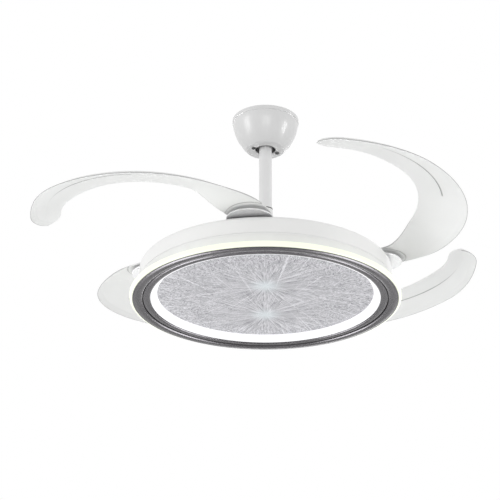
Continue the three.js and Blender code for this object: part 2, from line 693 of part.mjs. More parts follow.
function buildMotor(parent) {
  add(parent, 'downrod', downrod(), WHITE_GLOSS);
  add(parent, 'yoke_collar', yokeCollar(), WHITE_PLASTIC);
  add(parent, 'clevis_pin', clevisPin(), STEEL);
  add(parent, 'clevis_clip', clevisClip(), STEEL);
  add(parent, 'motor_shaft', tube(SHAFT_BORE_RADIUS, SHAFT_RADIUS, SHAFT_BOTTOM, SHAFT_TOP), STEEL);
  add(parent, 'stator_core', statorCore(), STEEL);
  add(parent, 'winding_upper', winding(1), COPPER);
  add(parent, 'winding_lower', winding(-1), COPPER);
  add(parent, 'bearing_upper', bearing(UPPER_BEARING), STEEL);
  add(parent, 'bearing_lower', bearing(LOWER_BEARING), STEEL);
  add(parent, 'supply_lead', supplyLead(), BLACK_PLASTIC);
}

// ---- rotor: motor covers, blade carrier and pivots ----

const pivotAzimuth = (k) => PIVOT_AZIMUTH + (k * 360) / BLADE_COUNT;

function bladeCarrier() {
  const bore = disc(CARRIER_HOLE_RADIUS, CARRIER_BOTTOM - 1, CARRIER_TOP + 1);
  const boltHole = disc(BOLT_RADIUS + FIT_GAP, CARRIER_BOTTOM - 1, CARRIER_TOP + 1, COARSE);
  const window = disc(CARRIER_WINDOW_RADIUS, CARRIER_BOTTOM - 1, CARRIER_TOP + 1, COARSE);
  const stopTop = HUB_BOTTOM + HUB_THICKNESS - FIT_GAP;
  const stop = disc(STOP_RADIUS, CARRIER_BOTTOM + SHEET / 2, stopTop, COARSE);
  const halfLug = (Math.asin(LUG_WIDTH / 2 / STOP_OFFSET) * 180) / Math.PI;
  const halfStop = (Math.asin(STOP_RADIUS / STOP_OFFSET) * 180) / Math.PI;
  const clear = halfLug + halfStop + STOP_SLACK;
  const solids = [disc(CARRIER_HUB_RADIUS, CARRIER_BOTTOM, CARRIER_TOP)];
  const holes = [bore];
  for (let k = 0; k < BLADE_COUNT; k += 1) {
    const turn = degToRad(pivotAzimuth(k));
    const onArm = (geometry) => geometry.rotateZ(turn);
    const nearPivot = (angle) => [
      PIVOT_RADIUS + STOP_OFFSET * Math.cos(degToRad(angle)),
      STOP_OFFSET * Math.sin(degToRad(angle)),
    ];
    const arm = block([0, PIVOT_RADIUS], [-CARRIER_LOBE_RADIUS, CARRIER_LOBE_RADIUS],
      [CARRIER_BOTTOM, CARRIER_TOP]);
    const lobe = disc(CARRIER_LOBE_RADIUS, CARRIER_BOTTOM, CARRIER_TOP);
    solids.push(onArm(arm), onArm(moved(lobe, PIVOT_RADIUS, 0)));
    solids.push(onArm(moved(stop, ...nearPivot(LUG_ANGLE + clear))));
    solids.push(onArm(moved(stop, ...nearPivot(LUG_ANGLE - BLADE_FOLD - clear))));
    holes.push(onArm(moved(boltHole, PIVOT_RADIUS, 0)));
    holes.push(onArm(moved(window, CARRIER_WINDOW_OFFSET, 0)));
  }
  return cut(join(...solids), ...holes);
}

function pivotBolt() {
  const headTop = BOLT_HEAD_BOTTOM + BOLT_HEAD_HEIGHT;
  return turned([
    [0, CARRIER_BOTTOM],
    [BOLT_RADIUS, CARRIER_BOTTOM],
    [BOLT_RADIUS, BOLT_HEAD_BOTTOM],
    [BOLT_HEAD_RADIUS, BOLT_HEAD_BOTTOM],
    [BOLT_HEAD_RADIUS, headTop - BOLT_HEAD_HEIGHT / 3],
    [BOLT_HEAD_RADIUS * 0.7, headTop],
    [0, headTop],
  ], COARSE);
}

function bladeHub() {
  const top = HUB_BOTTOM + HUB_THICKNESS;
  const body = disc(HUB_RADIUS, HUB_BOTTOM, top);
  const boss = disc(HUB_BOSS_RADIUS, HUB_BOTTOM, CLAMP_TOP - FIT_GAP);
  const lug = block([0, LUG_REACH], [-LUG_WIDTH / 2, LUG_WIDTH / 2], [HUB_BOTTOM, top])
    .rotateZ(degToRad(LUG_ANGLE));
  const bore = disc(BOLT_RADIUS + FIT_GAP, HUB_BOTTOM - 1, CLAMP_TOP + 1, COARSE);
  return cut(join(body, boss, lug), bore);
}

function clampRing() {
  const inner = HUB_BOSS_RADIUS + FIT_GAP;
  const bevel = CLAMP_THICKNESS / 2;
  return ring([
    [inner, CLAMP_BOTTOM],
    [CLAMP_RADIUS, CLAMP_BOTTOM],
    [CLAMP_RADIUS, CLAMP_TOP - bevel],
    [CLAMP_RADIUS - bevel, CLAMP_TOP],
    [inner, CLAMP_TOP],
  ], MEDIUM);
}

// ---- blades ----

// A quadratic through the values at the root, the middle and the tip.
const along = (t, root, middle, tip) =>
  root * (1 - t) * (1 - 2 * t) + middle * 4 * t * (1 - t) + tip * t * (2 * t - 1);

// The centre line, fully open, from the pivot outwards: the heading turns clockwise as it goes.
function centreLine(steps) {
  const line = [];
  let [x, y, heading] = [0, 0, BLADE_HEADING];
  for (let k = 0; k <= steps; k += 1) {
    const t = k / steps;
    line.push({ x, y, heading });
    const bend = along(t, BLADE_BEND_ROOT, BLADE_BEND_MIDDLE, BLADE_BEND_TIP) / steps;
    const ahead = degToRad(heading - bend / 2);
    x += (Math.cos(ahead) * BLADE_LENGTH) / steps;
    y += (Math.sin(ahead) * BLADE_LENGTH) / steps;
    heading -= bend;
  }
  return line;
}

// 1 along the blade, falling to 0 as the tip rounds off.
function tipRound(t) {
  const into = Math.max(t - (1 - BLADE_TIP_SHARE), 0) / BLADE_TIP_SHARE;
  return Math.sqrt(1 - into ** 2);
}

// Full width along the blade: a round root about the pivot, three stations and a rounded tip.
function bladeWidth(distance) {
  const radius = BLADE_WIDTH_ROOT / 2;
  if (distance < 0) return 2 * Math.sqrt(Math.max(radius ** 2 - distance ** 2, 0));
  const t = Math.min(distance / BLADE_LENGTH, 1);
  const stations = [
    [0, BLADE_WIDTH_ROOT],
    [1 / 3, BLADE_WIDTH_THIRD],
    [2 / 3, BLADE_WIDTH_TWO_THIRDS],
    [1 - BLADE_TIP_SHARE, BLADE_WIDTH_TIP],
    [1, BLADE_WIDTH_TIP],
  ];
  const next = stations.findIndex(([place]) => place >= t && place > 0);
  const [[t0, w0], [t1, w1]] = [stations[next - 1], stations[next]];
  return lerp(w0, w1, smoothstep(t, t0, t1)) * tipRound(t);
}

// Distances from the pivot of the blade's cross-sections: closer together at its two round ends.
function bladeStations() {
  const radius = BLADE_WIDTH_ROOT / 2;
  const tipStart = BLADE_LENGTH * (1 - BLADE_TIP_SHARE);
  const quarter = (k, n) => Math.cos((k / n) * (Math.PI / 2));
  const ends = 5;
  return [
    ...Array.from({ length: ends }, (_, k) => -radius * quarter(k, ends)),
    ...Array.from({ length: BLADE_STATIONS }, (_, k) => (tipStart * k) / BLADE_STATIONS),
    ...Array.from({ length: ends + 1 }, (_, k) =>
      tipStart + (BLADE_LENGTH - tipStart) * quarter(ends - k, ends)),
  ];
}

function blade() {
  const fine = 400;
  const line = centreLine(fine);
  const columns = BLADE_COLUMNS;
  const sections = bladeStations().map((distance) => {
    const t = THREE.MathUtils.clamp(distance / BLADE_LENGTH, 0, 1);
    const { x, y, heading } = line[Math.round(t * fine)];
    const before = Math.min(distance, 0);
    const angle = degToRad(heading);
    const full = smoothstep(distance, BLADE_FLAT_END, BLADE_TWIST_END);
    const pitch = degToRad(along(t, BLADE_PITCH_ROOT, BLADE_PITCH_MIDDLE, BLADE_PITCH_TIP)) * full;
    const height = along(t, 0, BLADE_RISE_MIDDLE, BLADE_RISE_TIP) * full
      + BLADE_ROOT_BOTTOM + BLADE_ROOT_THICKNESS / 2;
    const half = bladeWidth(distance) / 2;
    const centre = [x + before * Math.cos(angle), y + before * Math.sin(angle)];
    return Array.from({ length: columns + 1 }, (_, k) => {
      const across = (2 * k) / columns - 1; // -1 on the inner edge, 1 on the outer
      const reach = across * half * Math.cos(pitch);
      const crown = (1 - across ** 2) * tipRound(t); // 0 along both edges and at the tip
      const skin = lerp(BLADE_EDGE_THICKNESS, BLADE_THICKNESS, crown);
      const arch = BLADE_CAMBER * crown * full;
      const middle = height - across * half * Math.sin(pitch) + arch;
      const thickness = lerp(BLADE_ROOT_THICKNESS, skin, full);
      const px = centre[0] - reach * Math.sin(angle);
      const py = centre[1] + reach * Math.cos(angle);
      return [[px, py, middle + thickness / 2], [px, py, middle - thickness / 2]];
    });
  });
  // Each section is one loop: across the top, then back across the underside.
  const loops = sections.map((section) => [
    ...section.map(([top]) => top),
    ...section.map(([, under]) => under).reverse(),
  ]);
  const size = loops[0].length;
  const positions = loops.flat(2);
  const faces = [];
  for (let row = 0; row + 1 < loops.length; row += 1) {
    for (let k = 0; k < size; k += 1) {
      const [a, b] = [row * size + k, row * size + ((k + 1) % size)];
      faces.push(a, b, b + size, a, b + size, a + size);
    }
  }
  const skin = new THREE.BufferGeometry();
  skin.setAttribute('position', new THREE.Float32BufferAttribute(positions, 3));
  skin.setIndex(faces);
  // Half a facet off the centre line, so that no edge of the skin runs into a corner of the hole.
  const hole = disc(HUB_BOSS_RADIUS + FIT_GAP, BLADE_ROOT_BOTTOM - 1,
    BLADE_ROOT_BOTTOM + BLADE_ROOT_THICKNESS + 1)
    .rotateZ(degToRad(BLADE_HEADING + 180 / MEDIUM));
  return cut(skin, hole);
}

function buildRotor(parent) {
  add(parent, 'rotor_cover_upper', rotorCoverUpper(), WHITE_GLOSS);
  add(parent, 'rotor_cover_lower', rotorCoverLower(), WHITE_GLOSS);
  const magnet = tube(MAGNET_OUTER - MAGNET_THICKNESS, MAGNET_OUTER,
    MOTOR_MIDDLE - MAGNET_HEIGHT / 2, MOTOR_MIDDLE + MAGNET_HEIGHT / 2, MEDIUM);
  add(parent, 'magnet_ring', magnet, MAGNET);
  add(parent, 'blade_carrier', bladeCarrier(), STEEL);
  const spring = tube(SPRING_INNER, SPRING_OUTER, SPRING_BOTTOM, SPRING_BOTTOM + SPRING_HEIGHT,
    COARSE);
  const parts = { bolt: pivotBolt(), hub: bladeHub(), clamp: clampRing(), blade: blade() };
  for (let k = 0; k < BLADE_COUNT; k += 1) {
    const arm = place(parent, { turn: pivotAzimuth(k) });
    const pivot = place(arm, { x: PIVOT_RADIUS });
    add(pivot, `pivot_bolt_${k + 1}`, parts.bolt, STEEL);
    const swing = place(pivot, { turn: BLADE_AT_REST[k % BLADE_AT_REST.length] });
    add(swing, `return_spring_${k + 1}`, spring, STEEL);
    add(swing, `blade_hub_${k + 1}`, parts.hub, WHITE_PLASTIC);
    add(swing, `blade_${k + 1}`, parts.blade, CLEAR_BLADE);
    add(swing, `blade_clamp_${k + 1}`, parts.clamp, WHITE_PLASTIC);
  }
}

// ---- lamp ----

function lampChassis() {
  const round = (wall, from, to) =>
    arc([DRUM_RADIUS - DRUM_EDGE_ROUND, DRUM_TOP - DRUM_EDGE_ROUND], DRUM_EDGE_ROUND - wall,
      from, to, 3);
  const pan = ring([
    [DRUM_RADIUS, DRUM_BOTTOM],
    ...round(0, 0, 90),
    [SHAFT_FIT, DRUM_TOP],
    [SHAFT_FIT, DRUM_TOP - DRUM_WALL],
    ...round(DRUM_WALL, 90, 0),
    [DRUM_RADIUS - DRUM_WALL, DRUM_BOTTOM],
  ], FINE);
  return cut(pan, ...chassisScrewHoles());
}

function chassisScrewHoles() {
  return CHASSIS_SCREW_AZIMUTHS.map((azimuth) =>
    barX(CHASSIS_SCREW_RADIUS + FIT_GAP, SPIGOT_RADIUS - 2 * SPIGOT_WALL, DRUM_RADIUS + 1)
      .translate(0, 0, CHASSIS_SCREW_HEIGHT)
      .rotateZ(degToRad(azimuth)));
}

function chassisScrew(azimuth) {
  const seat = DRUM_RADIUS + FIT_GAP;
  const head = turned([
    [0, SPIGOT_RADIUS - SPIGOT_WALL],
    [CHASSIS_SCREW_RADIUS, SPIGOT_RADIUS - SPIGOT_WALL],
    [CHASSIS_SCREW_RADIUS, seat],
    [CHASSIS_SCREW_HEAD, seat],
    [CHASSIS_SCREW_HEAD * 0.7, seat + CHASSIS_SCREW_RADIUS],
    [0, seat + CHASSIS_SCREW_RADIUS],
  ], COARSE);
  return head.rotateY(Math.PI / 2)
    .translate(0, 0, CHASSIS_SCREW_HEIGHT)
    .rotateZ(degToRad(azimuth));
}

// A channel: lower flange, outer wall, top step and the spigot that slides into the drum.
function coverSkirt() {
  const step = DRUM_BOTTOM - FIT_GAP;
  const body = ring([
    [SKIRT_LIP, SKIRT_BOTTOM],
    [SKIRT_RADIUS - SKIRT_WALL / 2, SKIRT_BOTTOM],
    [SKIRT_RADIUS, SKIRT_BOTTOM + SKIRT_WALL / 2],
    [SKIRT_RADIUS, step - SKIRT_WALL / 2],
    [SKIRT_RADIUS - SKIRT_WALL / 2, step],
    [SPIGOT_RADIUS, step],
    [SPIGOT_RADIUS, SPIGOT_TOP],
    [SPIGOT_RADIUS - SPIGOT_WALL, SPIGOT_TOP],
    [SPIGOT_RADIUS - SPIGOT_WALL, step - SKIRT_WALL],
    [SKIRT_RADIUS - SKIRT_WALL, step - SKIRT_WALL],
    [SKIRT_RADIUS - SKIRT_WALL, SKIRT_FLANGE_TOP],
    [SKIRT_LIP, SKIRT_FLANGE_TOP],
  ], FINE);
  return cut(body, ...chassisScrewHoles());
}

// The light-guide ring: a thick rounded rim that shows and a thin flange behind the trim.
function glowRing() {
  const top = SKIRT_BOTTOM - FIT_GAP;
  const rim = TRIM_INNER + (TRIM_RADIUS - TRIM_INNER) * 0.75;
  const roundTop = [GLOW_RADIUS - GLOW_EDGE_ROUND, top - GLOW_EDGE_ROUND];
  const roundLow = [GLOW_RADIUS - GLOW_EDGE_ROUND, GLOW_BOTTOM + GLOW_EDGE_ROUND];
  return ring([
    [rim, GLOW_BOTTOM],
    ...arc(roundLow, GLOW_EDGE_ROUND, -90, 0, 2),
    ...arc(roundTop, GLOW_EDGE_ROUND, 0, 90, 2),
    [SKIRT_LIP + SKIRT_WALL, top],
    [SKIRT_LIP + SKIRT_WALL, top - GLOW_FLANGE],
    [rim, top - GLOW_FLANGE],
  ], FINE);
}

// The plated moulding: a broad outer band and a narrow inner band with a groove between them.
function trimRing() {
  const outerLip = GLOW_BOTTOM - FIT_GAP;
  const rim = TRIM_INNER + (TRIM_RADIUS - TRIM_INNER) * 0.75 - FIT_GAP;
  const bulge = (from, to, depth, base, steps) =>
    Array.from({ length: steps + 1 }, (_, k) => {
      const share = k / steps;
      return [lerp(from, to, share), base - depth * Math.sin(Math.PI * share)];
    });
  const top = GLOW_BOTTOM + GLOW_FLANGE + 2;
  const grooveHeight = TRIM_BAND_DEPTH;
  const outerBand = bulge(TRIM_GROOVE_RADIUS, TRIM_RADIUS, TRIM_BAND_DEPTH, grooveHeight, 5)
    .map(([r, z]) => [r, Math.min(z, lerp(grooveHeight, outerLip / 2,
      (r - TRIM_GROOVE_RADIUS) / (TRIM_RADIUS - TRIM_GROOVE_RADIUS)))]);
  const innerBand = bulge(TRIM_INNER, TRIM_GROOVE_RADIUS, TRIM_BAND_DEPTH * 0.6, grooveHeight, 3);
  return ring([
    ...innerBand.slice(0, -1),
    ...outerBand,
    [TRIM_RADIUS, outerLip],
    [rim, outerLip],
    [rim, TRIM_HEIGHT],
    [rim - TRIM_WALL, TRIM_HEIGHT],
    [rim - TRIM_WALL, top],
    [TRIM_INNER, top],
  ], FINE);
}

// The white glowing wall round the recess: a funnel with a flange outside and a ledge inside.
function diffuserWall() {
  const flangeRadius = SKIRT_RADIUS - SKIRT_WALL - 2 * FIT_GAP;
  return ring([
    [WALL_MOUTH_RADIUS, WALL_MOUTH_HEIGHT],
    [WALL_TOP_RADIUS + WALL_SHEET, WALL_FLANGE_BOTTOM],
    [flangeRadius, WALL_FLANGE_BOTTOM],
    [flangeRadius, WALL_FLANGE_TOP],
    [WALL_TOP_RADIUS - WALL_LEDGE, WALL_FLANGE_TOP],
    [WALL_TOP_RADIUS - WALL_LEDGE, WALL_FLANGE_BOTTOM],
    [WALL_TOP_RADIUS, WALL_FLANGE_BOTTOM],
    [WALL_MOUTH_RADIUS - WALL_SHEET, WALL_MOUTH_HEIGHT],
  ], FINE);
}

function driverBox(side) {
  const [length, width, height] = DRIVER_SIZE;
  const reach = [side * DRIVER_INSIDE, side * (DRIVER_INSIDE + length)].sort((a, b) => a - b);
  return block(reach, [-width / 2, width / 2], [TRAY_TOP, TRAY_TOP + height]);
}

function buildLamp(parent) {
  const plateBottom = WALL_FLANGE_TOP + FIT_GAP;
  const tray = disc(SPIGOT_RADIUS - FIT_GAP, TRAY_BOTTOM, TRAY_TOP, FINE);
  add(parent, 'shaft_nut', hexNut(DRUM_TOP - DRUM_WALL - FIT_GAP), STEEL);
  add(parent, 'lamp_chassis', lampChassis(), WHITE_GLOSS);
  add(parent, 'led_tray', tray, STEEL);
  add(parent, 'led_board', tube(BOARD_INNER, BOARD_OUTER, BOARD_BOTTOM, TRAY_BOTTOM), BOARD);
  add(parent, 'led_driver', driverBox(1), BLACK_PLASTIC);
  add(parent, 'motor_controller', driverBox(-1), BLACK_PLASTIC);
  add(parent, 'cover_skirt', coverSkirt(), WHITE_PLASTIC);
  add(parent, 'glow_ring', glowRing(), GLOW);
  add(parent, 'trim_ring', trimRing(), DARK_TRIM);
  add(parent, 'diffuser_wall', diffuserWall(), DIFFUSER);
  add(parent, 'crystal_plate', disc(PLATE_RADIUS, plateBottom, plateBottom + PLATE_THICKNESS, FINE),
    CRYSTAL);
  for (const [k, azimuth] of CHASSIS_SCREW_AZIMUTHS.entries()) {
    add(parent, `chassis_screw_${k + 1}`, chassisScrew(azimuth), STEEL);
  }
}

// ---- the fan ----

const fan = new THREE.Group();
buildMount(fan);
const hanging = place(fan, { z: -OVERALL_DROP });
const liner = place(hanging, { z: OVERALL_DROP - BALL_DEPTH });
add(liner, 'ball_liner', ballLiner(), NYLON);
buildHanger(hanging);
buildMotor(hanging);
buildRotor(hanging);
buildLamp(hanging);

export default fan;
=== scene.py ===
"""A retractable blade ceiling fan with a round lamp: fine surfaces and finishes round its packed
frame, and a plain studio. Every length is in metres, +Z up, with the ceiling at z = 0."""

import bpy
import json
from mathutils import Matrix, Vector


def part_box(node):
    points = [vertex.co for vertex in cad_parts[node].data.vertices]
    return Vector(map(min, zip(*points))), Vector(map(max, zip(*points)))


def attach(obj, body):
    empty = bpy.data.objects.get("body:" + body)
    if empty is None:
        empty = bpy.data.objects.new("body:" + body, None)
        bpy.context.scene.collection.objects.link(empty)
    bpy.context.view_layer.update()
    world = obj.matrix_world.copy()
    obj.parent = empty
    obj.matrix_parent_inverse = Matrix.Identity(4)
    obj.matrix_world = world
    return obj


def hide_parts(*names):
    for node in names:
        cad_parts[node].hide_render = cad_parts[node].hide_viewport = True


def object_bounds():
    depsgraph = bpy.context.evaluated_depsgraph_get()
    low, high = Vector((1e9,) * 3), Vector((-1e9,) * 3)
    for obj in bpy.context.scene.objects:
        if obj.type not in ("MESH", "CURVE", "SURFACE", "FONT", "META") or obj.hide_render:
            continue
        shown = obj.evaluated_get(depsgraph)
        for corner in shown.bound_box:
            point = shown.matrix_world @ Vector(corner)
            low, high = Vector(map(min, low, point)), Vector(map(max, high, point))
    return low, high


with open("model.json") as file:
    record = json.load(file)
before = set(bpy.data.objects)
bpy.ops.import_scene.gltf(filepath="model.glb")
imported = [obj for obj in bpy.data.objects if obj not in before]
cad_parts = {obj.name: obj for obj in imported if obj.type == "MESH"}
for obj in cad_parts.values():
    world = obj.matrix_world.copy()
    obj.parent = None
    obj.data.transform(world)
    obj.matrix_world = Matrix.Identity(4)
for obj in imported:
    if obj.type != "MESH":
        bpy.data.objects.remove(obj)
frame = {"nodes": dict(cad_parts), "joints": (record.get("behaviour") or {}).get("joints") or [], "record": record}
cad_box = [list(corner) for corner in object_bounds()]

import json
from math import atan2, ceil, cos, hypot, pi, radians, sin, tan

import bmesh
import bpy
import numpy as np
from bpy.props import FloatProperty, FloatVectorProperty, IntProperty, PointerProperty
from mathutils import Matrix, Vector

bl_info = {
    "name": "Retractable blade ceiling fan",
    "version": (1, 0, 0),
    "blender": (4, 5, 0),
    "location": "View3D > Sidebar > Ceiling fan",
    "description": "Builds the fan's canopy, rod, blades and lamp, and a plain studio",
    "category": "Add Mesh",
}

MM = 0.001
RECORD = frame["record"]
BODY_OF = {node: body for body, nodes in RECORD["behaviour"]["bodies"].items() for node in nodes}
SLOT_OF = {part["node"]: part["material_slot"] for part in RECORD["subparts"]}
JOINTS = {joint["name"]: joint for joint in frame["joints"]}
LAMP_FOOT = cad_box[0][2]  # height of the lamp's lowest edge
BLADES = sorted(int(name.split("_")[-1]) for name in JOINTS if name.startswith("blade_swing"))
SHARP_ANGLE = 32.0  # degrees: faces that meet at more than this keep a sharp edge
TINY = 1e-6  # keeps a divisor off zero
FIT_GAP = 0.3 * MM  # between a screw or a rod and the piece that holds it


# ---- measuring the frame ----


def node_points(node):
    """All the corners of a CAD node, as rows of x, y, z."""
    mesh = frame["nodes"][node].data
    flat = np.empty(3 * len(mesh.vertices), np.float32)
    mesh.vertices.foreach_get("co", flat)
    return flat.reshape(-1, 3).astype(float)


def turned_size(node):
    """Outer radius about the rod's axis, lowest and highest height of a CAD node."""
    at = node_points(node)
    return np.hypot(at[:, 0], at[:, 1]).max(), at[:, 2].min(), at[:, 2].max()


def node_bore(node):
    """Inner radius about the rod's axis of a ring-shaped CAD node."""
    at = node_points(node)
    return np.hypot(at[:, 0], at[:, 1]).min()


def pivot_place(number):
    """Where a blade's own frame stands: its origin on the pivot at the lamp's foot, +X outwards
    when the blade is fully open, turned back by what it lacks of full opening at rest."""
    joint = JOINTS[f"blade_swing_{number}"]
    x, y, _ = joint["pos_m"]
    shortfall = radians(joint["range_deg"][1])
    turn = Matrix.Rotation(atan2(y, x) - shortfall, 4, "Z")
    return Matrix.Translation((x, y, LAMP_FOOT)) @ turn


# ---- making surfaces ----


def linked(name, data):
    """A new object with that data, in the scene."""
    made = bpy.data.objects.new(name, data)
    bpy.context.scene.collection.objects.link(made)
    return made


def surface(name, grid, close_rows=False, close_columns=True, sharp=SHARP_ANGLE, place=None,
            marks=None):
    """A mesh over a grid of points: each cell between four neighbours is one face. A closed
    direction joins its last line to its first. Points that coincide, as at a pole, are merged.
    marks gives named values at the grid's points, which the materials read."""
    rows, columns = grid.shape[:2]
    numbers = np.arange(rows * columns).reshape(rows, columns)
    across = np.roll(numbers, -1, axis=1) if close_columns else numbers[:, 1:]
    near = numbers if close_columns else numbers[:, :-1]
    if close_rows:
        pairs = (near, across, np.roll(across, -1, axis=0), np.roll(near, -1, axis=0))
    else:
        pairs = (near[:-1], across[:-1], across[1:], near[1:])
    faces = np.stack([part.ravel() for part in pairs], axis=1)
    mesh = bpy.data.meshes.new(name)
    mesh.from_pydata(grid.reshape(-1, 3), [], faces.tolist())
    for mark, values in (marks or {}).items():
        layer = mesh.attributes.new(mark, "FLOAT", "POINT")
        layer.data.foreach_set("value", np.ascontiguousarray(values, np.float32).ravel())
    clean_mesh(mesh, sharp)
    if place is not None:
        mesh.transform(place)
    return linked(name, mesh)


def clean_mesh(mesh, sharp):
    """Merges points that coincide, drops empty faces and turns the rest outwards."""
    same_place = 0.002 * MM
    empty = 0.0005 * MM
    shell = bmesh.new()
    shell.from_mesh(mesh)
    bmesh.ops.remove_doubles(shell, verts=shell.verts, dist=same_place)
    bmesh.ops.dissolve_degenerate(shell, edges=shell.edges, dist=empty)
    bmesh.ops.recalc_face_normals(shell, faces=shell.faces)
    shell.to_mesh(mesh)
    shell.free()
    mesh.shade_smooth()
    mesh.set_sharp_from_angle(angle=radians(sharp))


def rounded(corners, closed=True, facet=radians(10)):
    """A profile through (radius, height, round) corners. A corner with a round becomes an arc
    that touches both its sides, between two guard points that keep the sides flat. Two arcs on
    one side leave a little of it straight."""
    most_of_side = 0.49
    guard_share = 0.12
    points = [np.array(corner[:2], float) for corner in corners]
    count = len(points)
    profile = []
    reach = []
    for k, (_, _, fillet) in enumerate(corners):
        toward = [points[k - 1] - points[k], points[(k + 1) % count] - points[k]]
        lengths = [np.linalg.norm(side) for side in toward]
        if fillet <= 0 or (not closed and k in (0, count - 1)):
            reach.append((0.0, None, None, None))
            continue
        first, last = (side / size for side, size in zip(toward, lengths))
        opening = np.arccos(np.clip(first @ last, -1, 1))
        tangent = min(fillet / tan(opening / 2), most_of_side * min(lengths))
        reach.append((tangent, first, last, opening))
    for k, (tangent, first, last, opening) in enumerate(reach):
        if first is None:
            profile.append(points[k])
            continue
        radius = tangent * tan(opening / 2)
        bisector = (first + last) / np.linalg.norm(first + last)
        centre = points[k] + bisector * radius / sin(opening / 2)
        start = points[k] + first * tangent - centre
        end = points[k] + last * tangent - centre
        swing = pi - opening
        steps = max(3, ceil(swing / facet))
        guard = guard_share * tangent
        profile.append(centre + start + first * guard)
        for step in range(steps + 1):
            share = step / steps
            turn = sin((1 - share) * swing) * start + sin(share * swing) * end
            profile.append(centre + turn / sin(swing))
        profile.append(centre + end + last * guard)
    return np.array(profile)


def turned(name, profile, steps=96, closed=True, outline=None, **options):
    """A surface of revolution: a profile point (r, z) goes to (r cos a, r sin a, z) for every
    angle a. outline(r, a), where given, is the radius that r becomes at that angle."""
    angle = np.linspace(0, 2 * pi, steps, endpoint=False)[None, :]
    radius = profile[:, :1]
    radius = radius + 0 * angle if outline is None else outline(radius, angle)
    height = profile[:, 1:] + 0 * angle
    grid = np.stack([radius * np.cos(angle), radius * np.sin(angle), height], axis=-1)
    return surface(name, grid, close_rows=closed, **options)


def drilled(piece, holes, steps=64):
    """Cuts round holes, each (x, y, radius, low, high), through a piece."""
    plugs = bmesh.new()
    for x, y, radius, low, high in holes:
        middle = Matrix.Translation((x, y, (low + high) / 2))
        bmesh.ops.create_cone(plugs, cap_ends=True, segments=steps, radius1=radius,
                              radius2=radius, depth=high - low, matrix=middle)
    mesh = bpy.data.meshes.new("plugs")
    plugs.to_mesh(mesh)
    plugs.free()
    cutter = linked("plugs", mesh)
    cut = piece.modifiers.new("holes", "BOOLEAN")
    cut.operation = "DIFFERENCE"
    cut.solver = "EXACT"
    cut.object = cutter
    bpy.context.view_layer.update()
    evaluated = piece.evaluated_get(bpy.context.evaluated_depsgraph_get())
    result = bpy.data.meshes.new_from_object(evaluated)
    piece.modifiers.clear()
    piece.data = result
    piece.data.name = piece.name
    bpy.data.objects.remove(cutter)
    bpy.data.meshes.remove(mesh)
    result.shade_smooth()
    result.set_sharp_from_angle(angle=radians(SHARP_ANGLE))


def fit(piece, finish, *nodes):
    """The piece stands for these CAD nodes: their body carries it and it takes their finish."""
    piece.data.materials.clear()
    piece.data.materials.append(finish)
    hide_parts(*nodes)
    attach(piece, BODY_OF[nodes[0]])


def turned_part(node_name, profile, steps, **options):
    """A surface of revolution that stands for a CAD node and has its finish."""
    piece = turned(f"finished_{node_name}", profile, steps, **options)
    fit(piece, finish_of(node_name), node_name)


def smooth(value, low, high):
    """0 below low, 1 above high, and an S between them."""
    share = np.clip((value - low) / (high - low), 0, 1)
    return share * share * (3 - 2 * share)


def mix(first, last, share):
    """The first at share 0, the last at share 1."""
    return first + (last - first) * share


# ---- node helpers ----


def new_finish(name, **sockets):
    """A material with one Principled shader, its uniform values set on the shader's sockets."""
    finish = bpy.data.materials.new(name)
    finish.use_nodes = True
    shader = finish.node_tree.nodes["Principled BSDF"]
    for socket, value in sockets.items():
        shader.inputs[socket.replace("_", " ")].default_value = value
    return finish, finish.node_tree, shader


def node(tree, kind, inputs=(), **settings):
    """A node of that kind: each input is a value or the output that feeds it."""
    made = tree.nodes.new("ShaderNode" + kind)
    for setting, value in settings.items():
        setattr(made, setting, value)
    for socket, value in dict(inputs).items():
        if isinstance(value, bpy.types.NodeSocket):
            tree.links.new(value, made.inputs[socket])
        else:
            made.inputs[socket].default_value = value
    return made


def own_place(tree):
    """The point's place in its mesh, in metres."""
    return node(tree, "TexCoord").outputs["Object"]


def scaled(tree, vector, factors):
    """A place with each coordinate times its factor, which makes a pattern that much finer."""
    return node(tree, "Mapping", {"Vector": vector, "Scale": factors}).outputs["Vector"]


def noise(tree, vector, scale=1.0, detail=2.0, rough=0.5):
    """A random cloud between 0 and 1, with about scale lumps to each unit of the vector."""
    inputs = {"Vector": vector, "Scale": scale, "Detail": detail, "Roughness": rough}
    return node(tree, "TexNoise", inputs).outputs["Fac"]


def arithmetic(tree, operation, first, second=0.0):
    """One operation on two values, each a number or the output that feeds it."""
    return node(tree, "Math", {0: first, 1: second}, operation=operation).outputs[0]


def remap(tree, value, source=(0.0, 1.0), target=(0.0, 1.0), **settings):
    """Carries a value from one range over to another, and holds it at that range's ends."""
    inputs = {"Value": value, "From Min": source[0], "From Max": source[1],
              "To Min": target[0], "To Max": target[1]}
    return node(tree, "MapRange", inputs, **settings).outputs["Result"]


def ramp(tree, factor, stops):
    """A colour for each factor: stops are (position, colour) pairs."""
    made = node(tree, "ValToRGB", {"Fac": factor})
    elements = made.color_ramp.elements
    while len(elements) < len(stops):
        elements.new(0.5)
    for element, (position, colour) in zip(elements, stops):
        element.position = position
        element.color = (*colour, 1.0)
    return made.outputs["Color"]


def blended(tree, factor, first, last, way="MIX"):
    """Two colours mixed or multiplied, each a plain colour or the output that feeds it."""
    made = node(tree, "Mix", {0: factor}, data_type="RGBA", blend_type=way)
    first_colour, last_colour = 6, 7
    for socket, value in ((first_colour, first), (last_colour, last)):
        if isinstance(value, bpy.types.NodeSocket):
            tree.links.new(value, made.inputs[socket])
        else:
            made.inputs[socket].default_value = (*value, 1.0)
    return made.outputs[2]


def attribute(tree, name):
    """A value that the mesh carries at its points."""
    return node(tree, "Attribute", attribute_name=name).outputs["Fac"]


def feed(tree, output, shader, socket):
    """Joins an output to a named socket of the shader."""
    tree.links.new(output, shader.inputs[socket])


